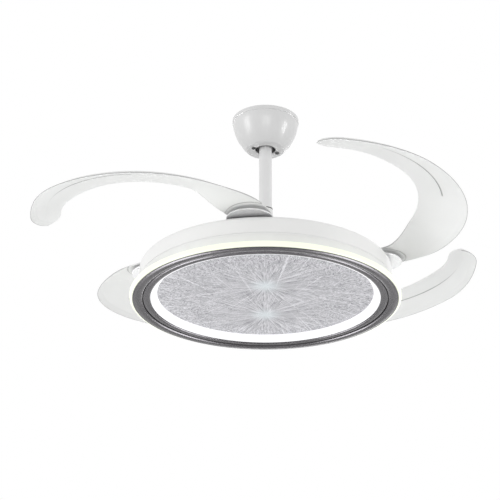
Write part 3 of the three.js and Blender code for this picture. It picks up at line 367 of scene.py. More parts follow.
def emboss(tree, shader, height, strength, depth):
    """A relief in the shading alone, for grain too fine to model."""
    inputs = {"Height": height, "Strength": strength, "Distance": depth}
    feed(tree, node(tree, "Bump", inputs).outputs["Normal"], shader, "Normal")


def shade(colour, level):
    """A colour with all its channels times a level."""
    return tuple(channel * level for channel in colour)


# ---- properties ----


def length(name, millimetres, description):
    """A length that is written here in millimetres and kept in metres."""
    return FloatProperty(name=name, description=description, default=millimetres * MM,
                         unit="LENGTH", precision=5)


def degrees(name, value, description):
    """An angle that is written here in degrees and kept in radians."""
    return FloatProperty(name=name, description=description, default=radians(value),
                         subtype="ANGLE")


def ratio(name, value, description):
    """A plain number, such as a share or a power."""
    return FloatProperty(name=name, description=description, default=value, min=0.0, max=20.0)


def tint(name, colour, description):
    """A colour, as red, green and blue from 0 to 1."""
    return FloatVectorProperty(name=name, description=description, default=colour,
                               subtype="COLOR", size=3, min=0.0, max=1.0)


class FAN_PG_finishes(bpy.types.PropertyGroup):
    """Colours of the fan's finishes."""

    enamel: tint("Enamel", (0.88, 0.88, 0.875), "White enamel on the lamp and motor")
    # painted shade: a greyer copy of the white enamel for the canopy and rod, which take less light
    canopy: tint("Canopy", (0.73, 0.73, 0.73), "Greyer white on the canopy and rod")
    moulding: tint("Moulding", (0.84, 0.845, 0.835), "White moulded plastic")
    blade: tint("Blade", (0.92, 0.925, 0.92), "Frosted blade plastic")
    # painted shade: the dark lines along the blades' fold, edges and root disc
    blade_line_painted_shade: tint("Blade line", (0.20, 0.20, 0.20), "Fold line and edge of the blades")
    plating: tint("Plating", (0.075, 0.072, 0.077), "Smoked plating on the trim ring")
    glow: tint("Glow", (0.96, 1.0, 0.84), "Lit light-guide ring")
    lit_wall: tint("Lit wall", (0.98, 0.98, 1.0), "Lit wall round the recess")
    crystal_dark: tint("Crystal shade", (0.15, 0.148, 0.165), "Darkest strokes of the plate")
    crystal_light: tint("Crystal light", (0.58, 0.578, 0.605), "Lightest strokes of the plate")
    crystal_heart: tint("Crystal heart", (0.66, 0.74, 0.76), "Tint at the two stars' centres")
    zinc: tint("Zinc", (0.74, 0.74, 0.75), "Zinc-plated steel")
    copper: tint("Copper", (0.60, 0.27, 0.12), "Enamelled copper wire")


class FAN_PG_canopy(bpy.types.PropertyGroup):
    """Sizes of the ceiling canopy."""

    rim_height: length("Rim height", 8, "Straight band under the ceiling")
    rim_step: length("Rim step", 1.4, "How far the bell stands back from the rim")
    base_radius: length("Base radius", 36, "Radius at the flat bottom")
    wall: length("Wall", 1.4, "Sheet thickness")
    mouth_radius: length("Mouth radius", 19.5, "Hole for the rod")
    mouth_bead: length("Mouth bead", 1.0, "Rolled bead round the hole")
    bell_power: ratio("Bell power", 1.75, "How late the bell starts to close in")
    bell_round: ratio("Bell round", 0.88, "How round its shoulder is")
    screw_head: length("Screw head", 4, "Radius of the two screws' heads")
    screw_shank: length("Screw shank", 2, "Radius of the two screws' threads")
    screw_offset: length("Screw offset", 24.5, "From the rod's axis to each screw")


class FAN_PG_hanger(bpy.types.PropertyGroup):
    """Sizes of the rod and the yoke."""

    rod_wall: length("Rod wall", 1.6, "Wall of the rod's tube")
    end_round: length("End round", 0.5, "Broken edge at the tube's ends")
    collar_radius: length("Collar radius", 13.6, "Outside of the thin collar over the yoke")
    collar_height: length("Collar height", 17.5, "From the yoke's shoulder to the collar's top")
    # painted shadow: the black ring under the collar's lip stands for the shadow line there
    shadow_ring_height: length("Seal height", 2.0, "Dark seal under the collar's lip")
    shadow_ring_depth: length("Seal depth", 0.9, "How far the seal stands back")
    shaft_radius: length("Shaft radius", 8.8, "Bore for the motor's shaft")
    pin_radius: length("Pin radius", 2.5, "Cross pin")
    pin_head: length("Pin head", 3, "Length of the cross pin's head")


class FAN_PG_rotor(bpy.types.PropertyGroup):
    """Sizes of the motor covers and the blade carrier."""

    wall: length("Wall", 2.5, "Thickness of the covers")
    shoulder: length("Shoulder", 12, "Round of the upper cover")
    edge_round: length("Edge round", 4, "Round of the lower cover")
    shaft_hole: length("Shaft hole", 9.1, "Radius of the hole for the shaft")
    boss_radius: length("Boss radius", 30, "Raised boss round the shaft")
    boss_height: length("Boss height", 1.2, "How far that boss stands up")
    split_groove: length("Split groove", 0.7, "Half of the groove where the covers meet")
    arm_half_width: length("Arm half width", 41, "Half width of a carrier arm, and its lobe")
    hub_radius: length("Hub radius", 92, "Round middle of the carrier")
    carrier_bore: length("Carrier bore", 24, "Hole in the carrier's middle")
    window_radius: length("Window radius", 20, "Lightening hole in each arm")
    window_offset: length("Window offset", 142, "From the axis to that hole")
    bolt_hole: length("Bolt hole", 5.3, "Hole for each pivot bolt")
    stop_radius: length("Stop radius", 3.5, "Pins that stop a blade's lug")
    stop_offset: length("Stop offset", 36, "From a pivot to its stop pins")
    stop_top: length("Stop top", 78.0, "Height of the stop pins over the lamp's foot")
    stop_open: degrees("Open stop", 227.8, "Place of the stop pin at full opening")
    stop_folded: degrees("Folded stop", 134.2, "Place of the stop pin when folded")
    plate_round: length("Plate round", 0.6, "Broken edge of the carrier plate")


class FAN_PG_pivot(bpy.types.PropertyGroup):
    """Sizes of the pieces at each blade's pivot, heights over the lamp's foot."""

    hub_radius: length("Hub radius", 29, "Disc under the blade's root")
    hub_top: length("Hub top", 78.3, "Upper face of that disc")
    boss_radius: length("Boss radius", 10, "Boss through the blade")
    bore: length("Bore", 5.3, "Hole for the bolt")
    lug_reach: length("Lug reach", 39, "From the pivot to the lug's end")
    lug_width: length("Lug width", 9, "Width of the lug")
    lug_angle: degrees("Lug angle", 213, "Direction of the lug from straight outwards")
    clamp_radius: length("Clamp radius", 27, "Ring over the blade's root")
    clamp_bore: length("Clamp bore", 10.3, "Hole in that ring")
    bolt_radius: length("Bolt radius", 5, "Shank of the pivot bolt")
    bolt_head_radius: length("Bolt head radius", 8.5, "Head of the pivot bolt")
    bolt_head_height: length("Bolt head height", 3.6, "Height of that head")
    socket_radius: length("Socket radius", 3.4, "Hexagon socket, to its flats")
    socket_depth: length("Socket depth", 2.2, "Depth of the socket")


class FAN_PG_blade(bpy.types.PropertyGroup):
    """Sizes of a blade, in its own frame: distances run along its centre line from the pivot."""

    reach: length("Length", 546, "Along the centre line, pivot to tip")
    heading: degrees("Heading", -13, "Direction of the centre line at the pivot")
    bend_root: degrees("Bend at the root", 235, "Bend per blade length at the root")
    bend_middle: degrees("Bend in the middle", 146, "Bend per blade length halfway")
    bend_tip: degrees("Bend at the tip", 182, "Bend per blade length at the tip")
    width_root: length("Root width", 76, "Width at the pivot")
    width_third: length("Width at a third", 91, "Width a third of the way out")
    width_two_thirds: length("Width at two thirds", 80, "Width two thirds of the way out")
    width_tip: length("Tip width", 56, "Width where the tip starts to round off")
    tip_share: ratio("Tip share", 0.08, "Share of the length that rounds off into the tip")
    rise_middle: length("Rise in the middle", 26, "Height over the root halfway")
    rise_tip: length("Rise at the tip", 41, "Height over the root at the tip")
    pitch_root: degrees("Root pitch", 17, "The outer edge hangs lower by this angle")
    pitch_middle: degrees("Middle pitch", 15, "The same, halfway")
    pitch_tip: degrees("Tip pitch", 10, "The same, at the tip")
    flat_end: length("Flat end", 34, "The root is flat up to here")
    twist_end: length("Twist end", 130, "The pitch is full from here")
    camber: length("Camber", 4, "Height of the arch across the blade")
    root_bottom: length("Root underside", 78.6, "Underside of the root over the lamp's foot")
    root_thickness: length("Root thickness", 3, "Thickness at the pivot")
    thickness: length("Thickness", 2.8, "Thickness along the middle")
    edge_thickness: length("Edge thickness", 1.4, "Thickness along the edges")
    hole: length("Hole", 10.3, "Hole for the hub's boss")
    fold_depth: length("Fold depth", 2.4, "Depth of the fold along the middle")
    fold_line: length("Fold line", 1.1, "Half width of the line along the fold")
    fold_from: ratio("Fold from", 0.43, "Where the fold's line starts sharply")
    fold_to: ratio("Fold to", 0.86, "Where it has faded out")
    lip_width: length("Lip width", 11, "Band that turns down along the outer edge")
    lip_drop: length("Lip drop", 2.2, "How far it turns down")
    root_disc: length("Root disc", 46, "Radius of the thicker disc round the pivot")
    root_step: length("Root step", 0.7, "How much thicker that disc is below")
    clearance: length("Clearance", 1.3, "How much narrower the moulding is than its space")


class FAN_PG_lamp(bpy.types.PropertyGroup):
    """Sizes of the lamp, heights over its lowest edge."""

    drum_round: length("Drum round", 9, "Round of the drum's top edge")
    drum_wall: length("Drum wall", 1.5, "Sheet of the drum")
    seam_height: length("Seam height", 2.6, "From the drum's foot to its rolled seam")
    seam_gap: length("Seam gap", 1.5, "Width of that seam")
    seam_depth: length("Seam depth", 0.9, "Depth of that seam")
    skirt_wall: length("Skirt wall", 2, "Wall of the lower cover")
    skirt_round: length("Skirt round", 1.4, "Round of its edges")
    skirt_lip: length("Skirt lip", 214, "Inner radius of its lower flange")
    skirt_step: length("Skirt step", 30.7, "Height of its upper step")
    spigot_radius: length("Spigot radius", 232.2, "Outside of the rim inside the drum")
    spigot_wall: length("Spigot wall", 2.7, "Thickness of that rim")
    glow_round: length("Glow round", 2.5, "Round of the lit ring's edges")
    glow_flange: length("Glow flange", 2, "Thin flange behind the trim")
    glow_inner: length("Glow inner radius", 216, "Inner radius of that flange")
    rim: length("Rim", 236.75, "Radius where the lit ring's thick rim starts")
    trim_bore: length("Trim bore", 212, "Inner radius of the plated trim")
    trim_groove: length("Trim groove", 226, "Radius of the groove between its two bands")
    groove_width: length("Groove width", 0.9, "Width of that groove")
    groove_depth: length("Groove depth", 1.6, "Depth of that groove")
    trim_band: length("Trim band", 4.2, "How far the broad band bulges down")
    trim_wall: length("Trim wall", 2, "Thickness behind the bands")
    trim_edge: length("Trim edge", 2.5, "Height of the trim's outer edge")
    trim_spigot: length("Trim spigot", 0.3, "Clearance between the trim and the lit ring")
    wall_mouth: length("Wall mouth", 211.5, "Radius of the recess at its mouth")
    wall_flare: length("Wall flare", 8, "How much narrower the recess is at the plate")
    wall_sheet: length("Wall sheet", 1.5, "Thickness of the lit wall")
    wall_ledge: length("Wall ledge", 4, "Ledge that carries the plate")
    facets: IntProperty(name="Facets", description="Facets round the lamp's rings", default=360)


class FAN_PG_crystal(bpy.types.PropertyGroup):
    """The needle pattern of the crystal plate: two stars on the plate's Y axis."""

    near_star: length("Near star", -42, "Centre of the star on the near side")
    far_star: length("Far star", 97, "Centre of the star on the far side")
    relief: length("Relief", 0.12, "Height of the rays at the stars")
    star_reach: length("Star reach", 150, "How far the rays run out")
    heart: length("Heart", 40, "How far the tint at a star's centre runs out")
    stray: FloatProperty(name="Stray", description="How far a patch's strokes turn off outwards",
                         default=0.8, subtype="ANGLE")
    patches: FloatProperty(name="Patches", description="Patches of strokes per metre", default=120)


class FAN_PG_stage(bpy.types.PropertyGroup):
    """Camera, lamps and floor."""

    distance: length("Distance", 2800, "Camera to the middle of the lit ring")
    elevation: degrees("Elevation", 22.5, "How steeply the camera looks up")
    lens: FloatProperty(name="Lens", description="Focal length on a 36 mm sensor", default=109.4)
    ring_pixel_x: FloatProperty(name="Ring X", description="Ring centre, of 500", default=265.5)
    ring_pixel_y: FloatProperty(name="Ring Y", description="Ring centre, of 500", default=303.1)
    floor_height: length("Floor", -4200, "Height of the floor")
    ambient: ratio("Ambient", 0.60, "Light of the surroundings on dull surfaces")
    box_centre: FloatVectorProperty(name="Softbox", description="Direction of the right softbox",
                                    default=(0.33, 0.55, -0.76), subtype="DIRECTION")
    box_along: FloatVectorProperty(name="Softbox length", description="Way its long side runs",
                                   default=(-0.48, 0.71, 0.42), subtype="DIRECTION")
    box_width: ratio("Softbox width", 0.12, "Sine of half its short side's angle")
    box_length: ratio("Softbox half length", 0.25, "Sine of half its long side's angle")
    box_light: ratio("Softbox light", 13.0, "Its light over that of the white surroundings")


# ---- finishes ----


def enamel(name, colour):
    """Gloss enamel: a faint cloud in its tone and a fine orange peel under a clear coat."""
    finish, tree, shader = new_finish(name, Roughness=0.34, IOR=1.5,
                                      Coat_Weight=0.4, Coat_Roughness=0.12)
    at = own_place(tree)
    cloud = noise(tree, at, scale=22.0, detail=3.0)
    tone = ramp(tree, cloud, [(0.3, shade(colour, 0.975)), (0.7, colour)])
    feed(tree, tone, shader, "Base Color")
    emboss(tree, shader, noise(tree, at, scale=650.0), strength=0.05, depth=0.4 * MM)
    return finish


def white_moulding(colours):
    """Satin moulded plastic with a fine spark-eroded grain."""
    finish, tree, shader = new_finish("white_moulding", Roughness=0.45, IOR=1.49)
    at = own_place(tree)
    cloud = noise(tree, at, scale=40.0)
    tone = ramp(tree, cloud, [(0.35, shade(colours.moulding, 0.97)), (0.65, colours.moulding)])
    feed(tree, tone, shader, "Base Color")
    grain = noise(tree, at, scale=2600.0, detail=3.0, rough=0.7)
    emboss(tree, shader, grain, strength=0.10, depth=0.25 * MM)
    return finish


def blade_plastic(colours):
    """Frosted plastic, nearly without gloss: darker at the root as painted shade for the hub under
    it and the thicker plastic, painted shade along the fold, near the edges and round the root's
    disc where the plastic bends the light away, and a faint flow pattern from moulding."""
    finish, tree, shader = new_finish("blade_plastic", Roughness=0.45, IOR=1.49,
                                      Specular_IOR_Level=0.05)
    at = own_place(tree)
    along = attribute(tree, "along")
    # painted shade: darker at the root, for the hub under it and the thicker plastic
    body = ramp(tree, along, [(0.0, shade(colours.blade, 0.89)), (0.22, colours.blade)])
    flow = noise(tree, scaled(tree, at, (9.0, 9.0, 30.0)), detail=3.0)
    cloudy = ramp(tree, flow, [(0.3, (0.965, 0.965, 0.965)), (0.7, (1.0, 1.0, 1.0))])
    body = blended(tree, 1.0, body, cloudy, "MULTIPLY")
    # painted shade along the fold, near the edges and round the root's disc
    tone = blended(tree, attribute(tree, "line"), body, colours.blade_line_painted_shade)
    feed(tree, tone, shader, "Base Color")
    emboss(tree, shader, noise(tree, at, scale=900.0), strength=0.04, depth=0.3 * MM)
    return finish


def dark_plating(colours):
    """Smoked plating: its tone and gloss drift slowly round the ring, under a faint peel."""
    finish, tree, shader = new_finish("dark_plating", Metallic=1.0)
    at = own_place(tree)
    cloud = noise(tree, at, scale=9.0, detail=3.0)
    stops = [(0.3, shade(colours.plating, 0.85)), (0.7, shade(colours.plating, 1.1))]
    feed(tree, ramp(tree, cloud, stops), shader, "Base Color")
    feed(tree, remap(tree, cloud, target=(0.20, 0.28)), shader, "Roughness")
    emboss(tree, shader, noise(tree, at, scale=300.0), strength=0.02, depth=0.1 * MM)
    return finish


def lit_guide(colours):
    """Light-guide acrylic lit from inside, a little brighter by turns where the lamps feed it."""
    finish, tree, shader = new_finish("lit_guide", Roughness=0.3, Emission_Strength=0.92,
                                      Base_Color=(0.12, 0.12, 0.10, 1.0))
    glow = noise(tree, own_place(tree), scale=12.0)
    stops = [(0.3, shade(colours.glow, 0.97)), (0.7, colours.glow)]
    feed(tree, ramp(tree, glow, stops), shader, "Emission Color")
    return finish


def lit_wall(colours):
    """Opal plastic lit from behind, with a fine matt skin."""
    finish, tree, shader = new_finish("lit_wall", Roughness=0.5, Emission_Strength=0.9,
                                      Base_Color=(0.15, 0.15, 0.15, 1.0))
    at = own_place(tree)
    glow = noise(tree, at, scale=18.0)
    stops = [(0.3, shade(colours.lit_wall, 0.97)), (0.7, colours.lit_wall)]
    feed(tree, ramp(tree, glow, stops), shader, "Emission Color")
    emboss(tree, shader, noise(tree, at, scale=1800.0), strength=0.05, depth=0.2 * MM)
    return finish


def star_rays(tree, at, centre, spread, run, detail):
    """Rays from a centre: noise over the direction from it, spread times as fine as the circle is
    wide, that changes run times in each metre of distance. Also gives that distance."""
    offset = node(tree, "VectorMath", {0: at, 1: (0.0, -centre, 0.0)}, operation="ADD").outputs[0]
    flat = node(tree, "VectorMath", {0: offset, 1: (1.0, 1.0, 0.0)},
                operation="MULTIPLY").outputs[0]
    distance = node(tree, "VectorMath", {0: flat}, operation="LENGTH").outputs["Value"]
    aim = node(tree, "VectorMath", {0: flat}, operation="NORMALIZE").outputs[0]
    wide = node(tree, "VectorMath", {0: aim, "Scale": spread}, operation="SCALE").outputs[0]
    lift = node(tree, "CombineXYZ", {"Z": arithmetic(tree, "MULTIPLY", distance, run)}).outputs[0]
    where = node(tree, "VectorMath", {0: wide, 1: lift}, operation="ADD").outputs[0]
    return noise(tree, where, detail=detail, rough=0.75), distance


def star_needles(tree, at, crystal):
    """Needles round the nearer of the two stars. Also gives the distance from that star."""
    stars = (crystal.near_star, crystal.far_star)
    (near_rays, near_distance), (far_rays, far_distance) = [
        star_rays(tree, at, star, spread=28.0, run=30.0, detail=4.0) for star in stars]
    nearer = arithmetic(tree, "LESS_THAN", near_distance, far_distance)
    rays = node(tree, "Mix", {"Factor": nearer, "A": far_rays, "B": near_rays}).outputs[0]
    return rays, arithmetic(tree, "MINIMUM", near_distance, far_distance)


def stray_strokes(tree, at, crystal):
    """Short strokes, in patches: each patch's run outwards from the plate's middle, turned off by
    a chance angle."""
    patch = node(tree, "TexVoronoi", {"Vector": at, "Scale": crystal.patches}).outputs
    centre = node(tree, "SeparateXYZ", {0: patch["Position"]}).outputs
    outwards = arithmetic(tree, "ARCTAN2", centre["Y"], centre["X"])
    chance = node(tree, "SeparateColor", {0: patch["Color"]}).outputs[0]
    stray = remap(tree, chance, target=(-crystal.stray, crystal.stray))
    turn = arithmetic(tree, "SUBTRACT", stray, outwards)
    turned_place = node(tree, "VectorRotate", {"Vector": at, "Angle": turn},
                        rotation_type="Z_AXIS").outputs[0]
    return noise(tree, scaled(tree, turned_place, (130.0, 900.0, 1.0)), rough=0.6)


def long_rays(tree, at, crystal):
    """How much brighter the plate is along a few long rays from both stars."""
    near_lines, far_lines = [
        star_rays(tree, at, star, spread=60.0, run=6.0, detail=0.0)[0]
        for star in (crystal.near_star, crystal.far_star)]
    lines = arithmetic(tree, "MAXIMUM", near_lines, far_lines)
    return remap(tree, lines, source=(0.66, 0.76), target=(0.0, 0.10))


def crystal_acrylic(colours, crystal):
    """Clear acrylic with a needle pattern, lit from behind: needles round two stars give way to
    stray strokes with the distance, under a few long rays, and a tint lies over the hearts."""
    finish, tree, shader = new_finish("crystal_acrylic", Roughness=0.2, IOR=1.49,
                                      Emission_Strength=0.34)
    at = own_place(tree)
    reach = crystal.star_reach
    rays, distance = star_needles(tree, at, crystal)
    strokes = stray_strokes(tree, at, crystal)
    away = remap(tree, distance, source=(0.2 * reach, reach))
    needles = node(tree, "Mix", {"Factor": away, "A": rays, "B": strokes}).outputs[0]
    needles = arithmetic(tree, "ADD", needles, long_rays(tree, at, crystal))
    contrast = remap(tree, needles, source=(0.39, 0.62))
    tone = blended(tree, contrast, colours.crystal_dark, colours.crystal_light)
    heart = remap(tree, distance, source=(0.0, crystal.heart), target=(0.5, 0.0),
                  interpolation_type="SMOOTHSTEP")
    tone = blended(tree, heart, tone, colours.crystal_heart)
    feed(tree, tone, shader, "Base Color")
    feed(tree, tone, shader, "Emission Color")
    emboss(tree, shader, needles, strength=0.35, depth=0.5 * MM)
    return finish


def zinc_plate(name, colour):
    """Zinc plate: a soft spangle in tone and roughness."""
    finish, tree, shader = new_finish(name, Metallic=0.7)
    at = own_place(tree)
    spangle = node(tree, "TexVoronoi", {"Vector": at, "Scale": 260.0}).outputs["Distance"]
    stops = [(0.0, shade(colour, 0.88)), (0.8, colour)]
    feed(tree, ramp(tree, spangle, stops), shader, "Base Color")
    rough = remap(tree, noise(tree, at, scale=90.0), target=(0.3, 0.42))
    feed(tree, rough, shader, "Roughness")
    return finish


def striped_steel():
    """The core's laminations: fine level lines, one for each sheet."""
    finish, tree, shader = new_finish("core_steel", Metallic=0.8, Roughness=0.45)
    sheets = node(tree, "TexWave", {"Vector": own_place(tree), "Scale": 320.0},
                  wave_type="BANDS", bands_direction="Z").outputs["Fac"]
    feed(tree, ramp(tree, sheets, [(0.2, (0.10, 0.10, 0.105)), (0.8, (0.30, 0.30, 0.31))]),
         shader, "Base Color")
    emboss(tree, shader, sheets, strength=0.2, depth=0.2 * MM)
    return finish


def wound_copper(colours):
    """Enamelled wire: turns side by side, seen as fine rings about the shaft."""
    finish, tree, shader = new_finish("wound_copper", Metallic=0.7, Roughness=0.35)
    turns = node(tree, "TexWave", {"Vector": own_place(tree), "Scale": 300.0, "Distortion": 1.0},
                 wave_type="RINGS", rings_direction="Z").outputs["Fac"]
    stops = [(0.2, shade(colours.copper, 0.45)), (0.8, colours.copper)]
    feed(tree, ramp(tree, turns, stops), shader, "Base Color")
    emboss(tree, shader, turns, strength=0.4, depth=0.4 * MM)
    return finish


def grained(name, colour, roughness, grain, depth, metallic=0.0):
    """A plain moulded, sheathed or sintered finish: a tone that clouds slightly, and grain times
    to the metre a grain of that depth."""
    finish, tree, shader = new_finish(name, Roughness=roughness, Metallic=metallic)
    at = own_place(tree)
    stops = [(0.3, shade(colour, 0.9)), (0.7, colour)]
    cloud = noise(tree, at, scale=60.0, detail=3.0)
    feed(tree, ramp(tree, cloud, stops), shader, "Base Color")
    relief = noise(tree, at, scale=grain, detail=3.0, rough=0.6)
    emboss(tree, shader, relief, strength=0.15, depth=depth)
    return finish


def led_board():
    """White solder mask with rows of amber chips."""
    finish, tree, shader = new_finish("led_board_mask", Roughness=0.4)
    chips = node(tree, "TexBrick", {"Vector": own_place(tree), "Scale": 60.0,
                                    "Mortar Size": 0.3, "Color1": (0.85, 0.62, 0.18, 1.0),
                                    "Color2": (0.88, 0.66, 0.22, 1.0),
                                    "Mortar": (0.86, 0.86, 0.84, 1.0)}).outputs["Color"]
    feed(tree, chips, shader, "Base Color")
    return finish


def make_finishes(scene):
    """One material for each slot of the record, and one for each node that has its own."""
    colours = scene.fan_finishes
    return {
        "white_paint": enamel("white_enamel", colours.enamel),
        "white_plastic": white_moulding(colours),
        "clear_blade": blade_plastic(colours),
        "dark_plating": dark_plating(colours),
        "glow_acrylic": lit_guide(colours),
        "diffuser": lit_wall(colours),
        "crystal_acrylic": crystal_acrylic(colours, scene.fan_crystal),
        "zinc_steel": zinc_plate("zinc_plate", colours.zinc),
        "core_steel": striped_steel(),
        "copper": wound_copper(colours),
        "magnet": grained("ferrite", (0.05, 0.05, 0.055), roughness=0.6, grain=900.0,
                          depth=0.3 * MM, metallic=0.3),
        "nylon": grained("nylon", (0.70, 0.67, 0.58), roughness=0.5, grain=700.0,
                         depth=0.2 * MM),
        "black_plastic": grained("black_moulding", (0.03, 0.03, 0.033), roughness=0.5,
                                 grain=1500.0, depth=0.2 * MM),
        "cable": grained("lead_sheath", (0.035, 0.035, 0.035), roughness=0.6, grain=800.0,
                         depth=0.3 * MM),
        "aluminium_tray": grained("mill_aluminium", (0.68, 0.68, 0.69), roughness=0.35,
                                  grain=400.0, depth=0.1 * MM, metallic=0.9),
        "board": led_board(),
        # painted shade: greyer copies of the white enamel on the canopy and the rod
        "canopy": enamel("canopy_enamel_painted_shade", colours.canopy),
        # the canopy screws' zinc, darkened to an eighth of its tone
        "canopy_screw_1": zinc_plate("darkened_zinc", shade(colours.zinc, 0.12)),
        "downrod": enamel("rod_enamel_painted_shade", shade(colours.canopy, 1.1)),
    }


FINISHES = {}


def finish_of(node_name):
    """A node's own finish where it has one, otherwise its slot's."""
    return FINISHES.get(node_name, FINISHES[SLOT_OF[node_name]])


# ---- shapes that pieces share ----


def cross_slot(reach, half_width):
    """Outline of a cross recess: two crossed bars, with the head's own round shape outside."""
    def outline(radius, angle):
        across = np.minimum(np.abs(np.sin(angle)), np.abs(np.cos(angle)))
        bar = np.minimum(reach, half_width / np.maximum(across, half_width / reach))
        inside = radius <= reach
        return np.where(inside, radius / reach * bar, radius + 0 * angle)
    return outline


def hexagon(flats):
    """Outline of a hexagon socket, with the head's own round shape outside."""
    def outline(radius, angle):
        corner = (angle + pi / 6) % (pi / 3) - pi / 6
        inside = radius <= flats
        return np.where(inside, radius / np.cos(corner), radius + 0 * angle)
    return outline


def pan_screw(name, head, shank, seat, end, crown, **options):
    """A pan-head screw along Z with its head's underside on the plane z = seat, its thread up to
    end and its crown below the seat, with a cross recess in the head."""
    recess_share = 0.74
    bar_share = 0.26
    down = 1 if end > seat else -1
    reach = recess_share * head
    profile = rounded([
        (0, seat - down * 0.2 * crown, 0),
        (0.7 * reach, seat - down * 0.25 * crown, 0),
        (reach, seat - down * crown, 0.1 * MM),
        (head, seat - down * 0.75 * crown, 0.35 * crown),
        (head, seat, 0.1 * MM),
        (shank, seat, 0),
        (shank, end - down * shank / 2, 0),
        (0.6 * shank, end, 0),
        (0, end, 0),
    ], closed=False)
    slot = cross_slot(reach, bar_share * head)
    return turned(name, profile, steps=96, closed=False, outline=slot, **options)


# ---- operators: one for each piece or group of like pieces ----


class FanOperator:
    """What the fan's operators share."""

    bl_options = {"REGISTER", "UNDO"}


class FAN_OT_finishes(FanOperator, bpy.types.Operator):
    """Make the materials and give every CAD node the one of its slot."""

    bl_idname = "fan.finishes"
    bl_label = "Finishes"

    def execute(self, context):
        FINISHES.update(make_finishes(context.scene))
        for name, piece in frame["nodes"].items():
            for slot in piece.material_slots:
                slot.material = finish_of(name)
        return {"FINISHED"}


class FAN_OT_canopy(FanOperator, bpy.types.Operator):
    """Make the ceiling canopy, a bell with a stepped rim, and its two screws."""

    bl_idname = "fan.canopy"
    bl_label = "Canopy"

    def bell(self, sizes, rim, bottom, wall):
        """The bell's side: it closes in by a power of the height, ever faster towards the
        bottom, so the points crowd there. A second power rounds its shoulder."""
        points = 48
        crowding = 1.8
        drop = 1 - (1 - np.linspace(0, 1, points)) ** crowding
        height = mix(-sizes.rim_height, bottom + wall, drop)
        opening = (1 - drop ** sizes.bell_power) ** sizes.bell_round
        shoulder = rim - sizes.rim_step
        radius = sizes.base_radius + (shoulder - sizes.base_radius) * opening - wall
        return np.stack([radius, height], axis=1)

    def profile(self, sizes):
        """The rim's band, down the bell's outside, round the mouth's bead and up its inside."""
        rim, bottom, top = turned_size("canopy")
        step = sizes.rim_step
        wall = sizes.wall
        band = rounded([
            (rim - wall - step, top, 0),
            (rim - 0.3 * step, top, 0.2 * MM),
            (rim, top - 0.3 * step, 0.3 * MM),
            (rim, top - sizes.rim_height + 0.4 * step, 0.5 * MM),
            (rim - step, top - sizes.rim_height, 0.3 * MM),
        ], closed=False)
        bead = sizes.mouth_bead
        flat_start = sizes.base_radius - 1.5 * MM
        mouth = rounded([
            (flat_start, bottom, 0),
            (sizes.mouth_radius, bottom, bead),
            (sizes.mouth_radius, bottom + wall + bead, 0.3 * MM),
            (sizes.mouth_radius + wall, bottom + wall + bead, 0.3 * MM),
            (sizes.mouth_radius + wall, bottom + wall, 0),
        ], closed=False)
        outside = self.bell(sizes, rim, bottom, 0)[1:]
        inside = self.bell(sizes, rim, bottom, wall)[::-1]
        return np.concatenate([band, outside, mouth, inside])

    def screws(self, sizes, bottom):
        """The two screws under the canopy. Also gives the holes that they need."""
        shank = sizes.screw_shank
        holes = []
        for number in (1, 2):
            low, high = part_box(f"canopy_screw_{number}")
            centre = (low + high) / 2
            holes.append((centre.x, centre.y, shank + FIT_GAP, bottom - MM,
                          bottom + sizes.wall + MM))
            screw = pan_screw(f"finished_canopy_screw_{number}", head=sizes.screw_head,
                              shank=shank, seat=bottom - FIT_GAP, end=high.z, crown=shank,
                              place=Matrix.Translation((centre.x, centre.y, 0)))
            fit(screw, finish_of("canopy_screw_1"), f"canopy_screw_{number}")
        return holes

    def execute(self, context):
        sizes = context.scene.fan_canopy
        _, bottom, _ = turned_size("canopy")
        shell = turned("finished_canopy", self.profile(sizes), steps=160, sharp=28)
        drilled(shell, self.screws(sizes, bottom), steps=32)
        fit(shell, finish_of("canopy"), "canopy")
        return {"FINISHED"}


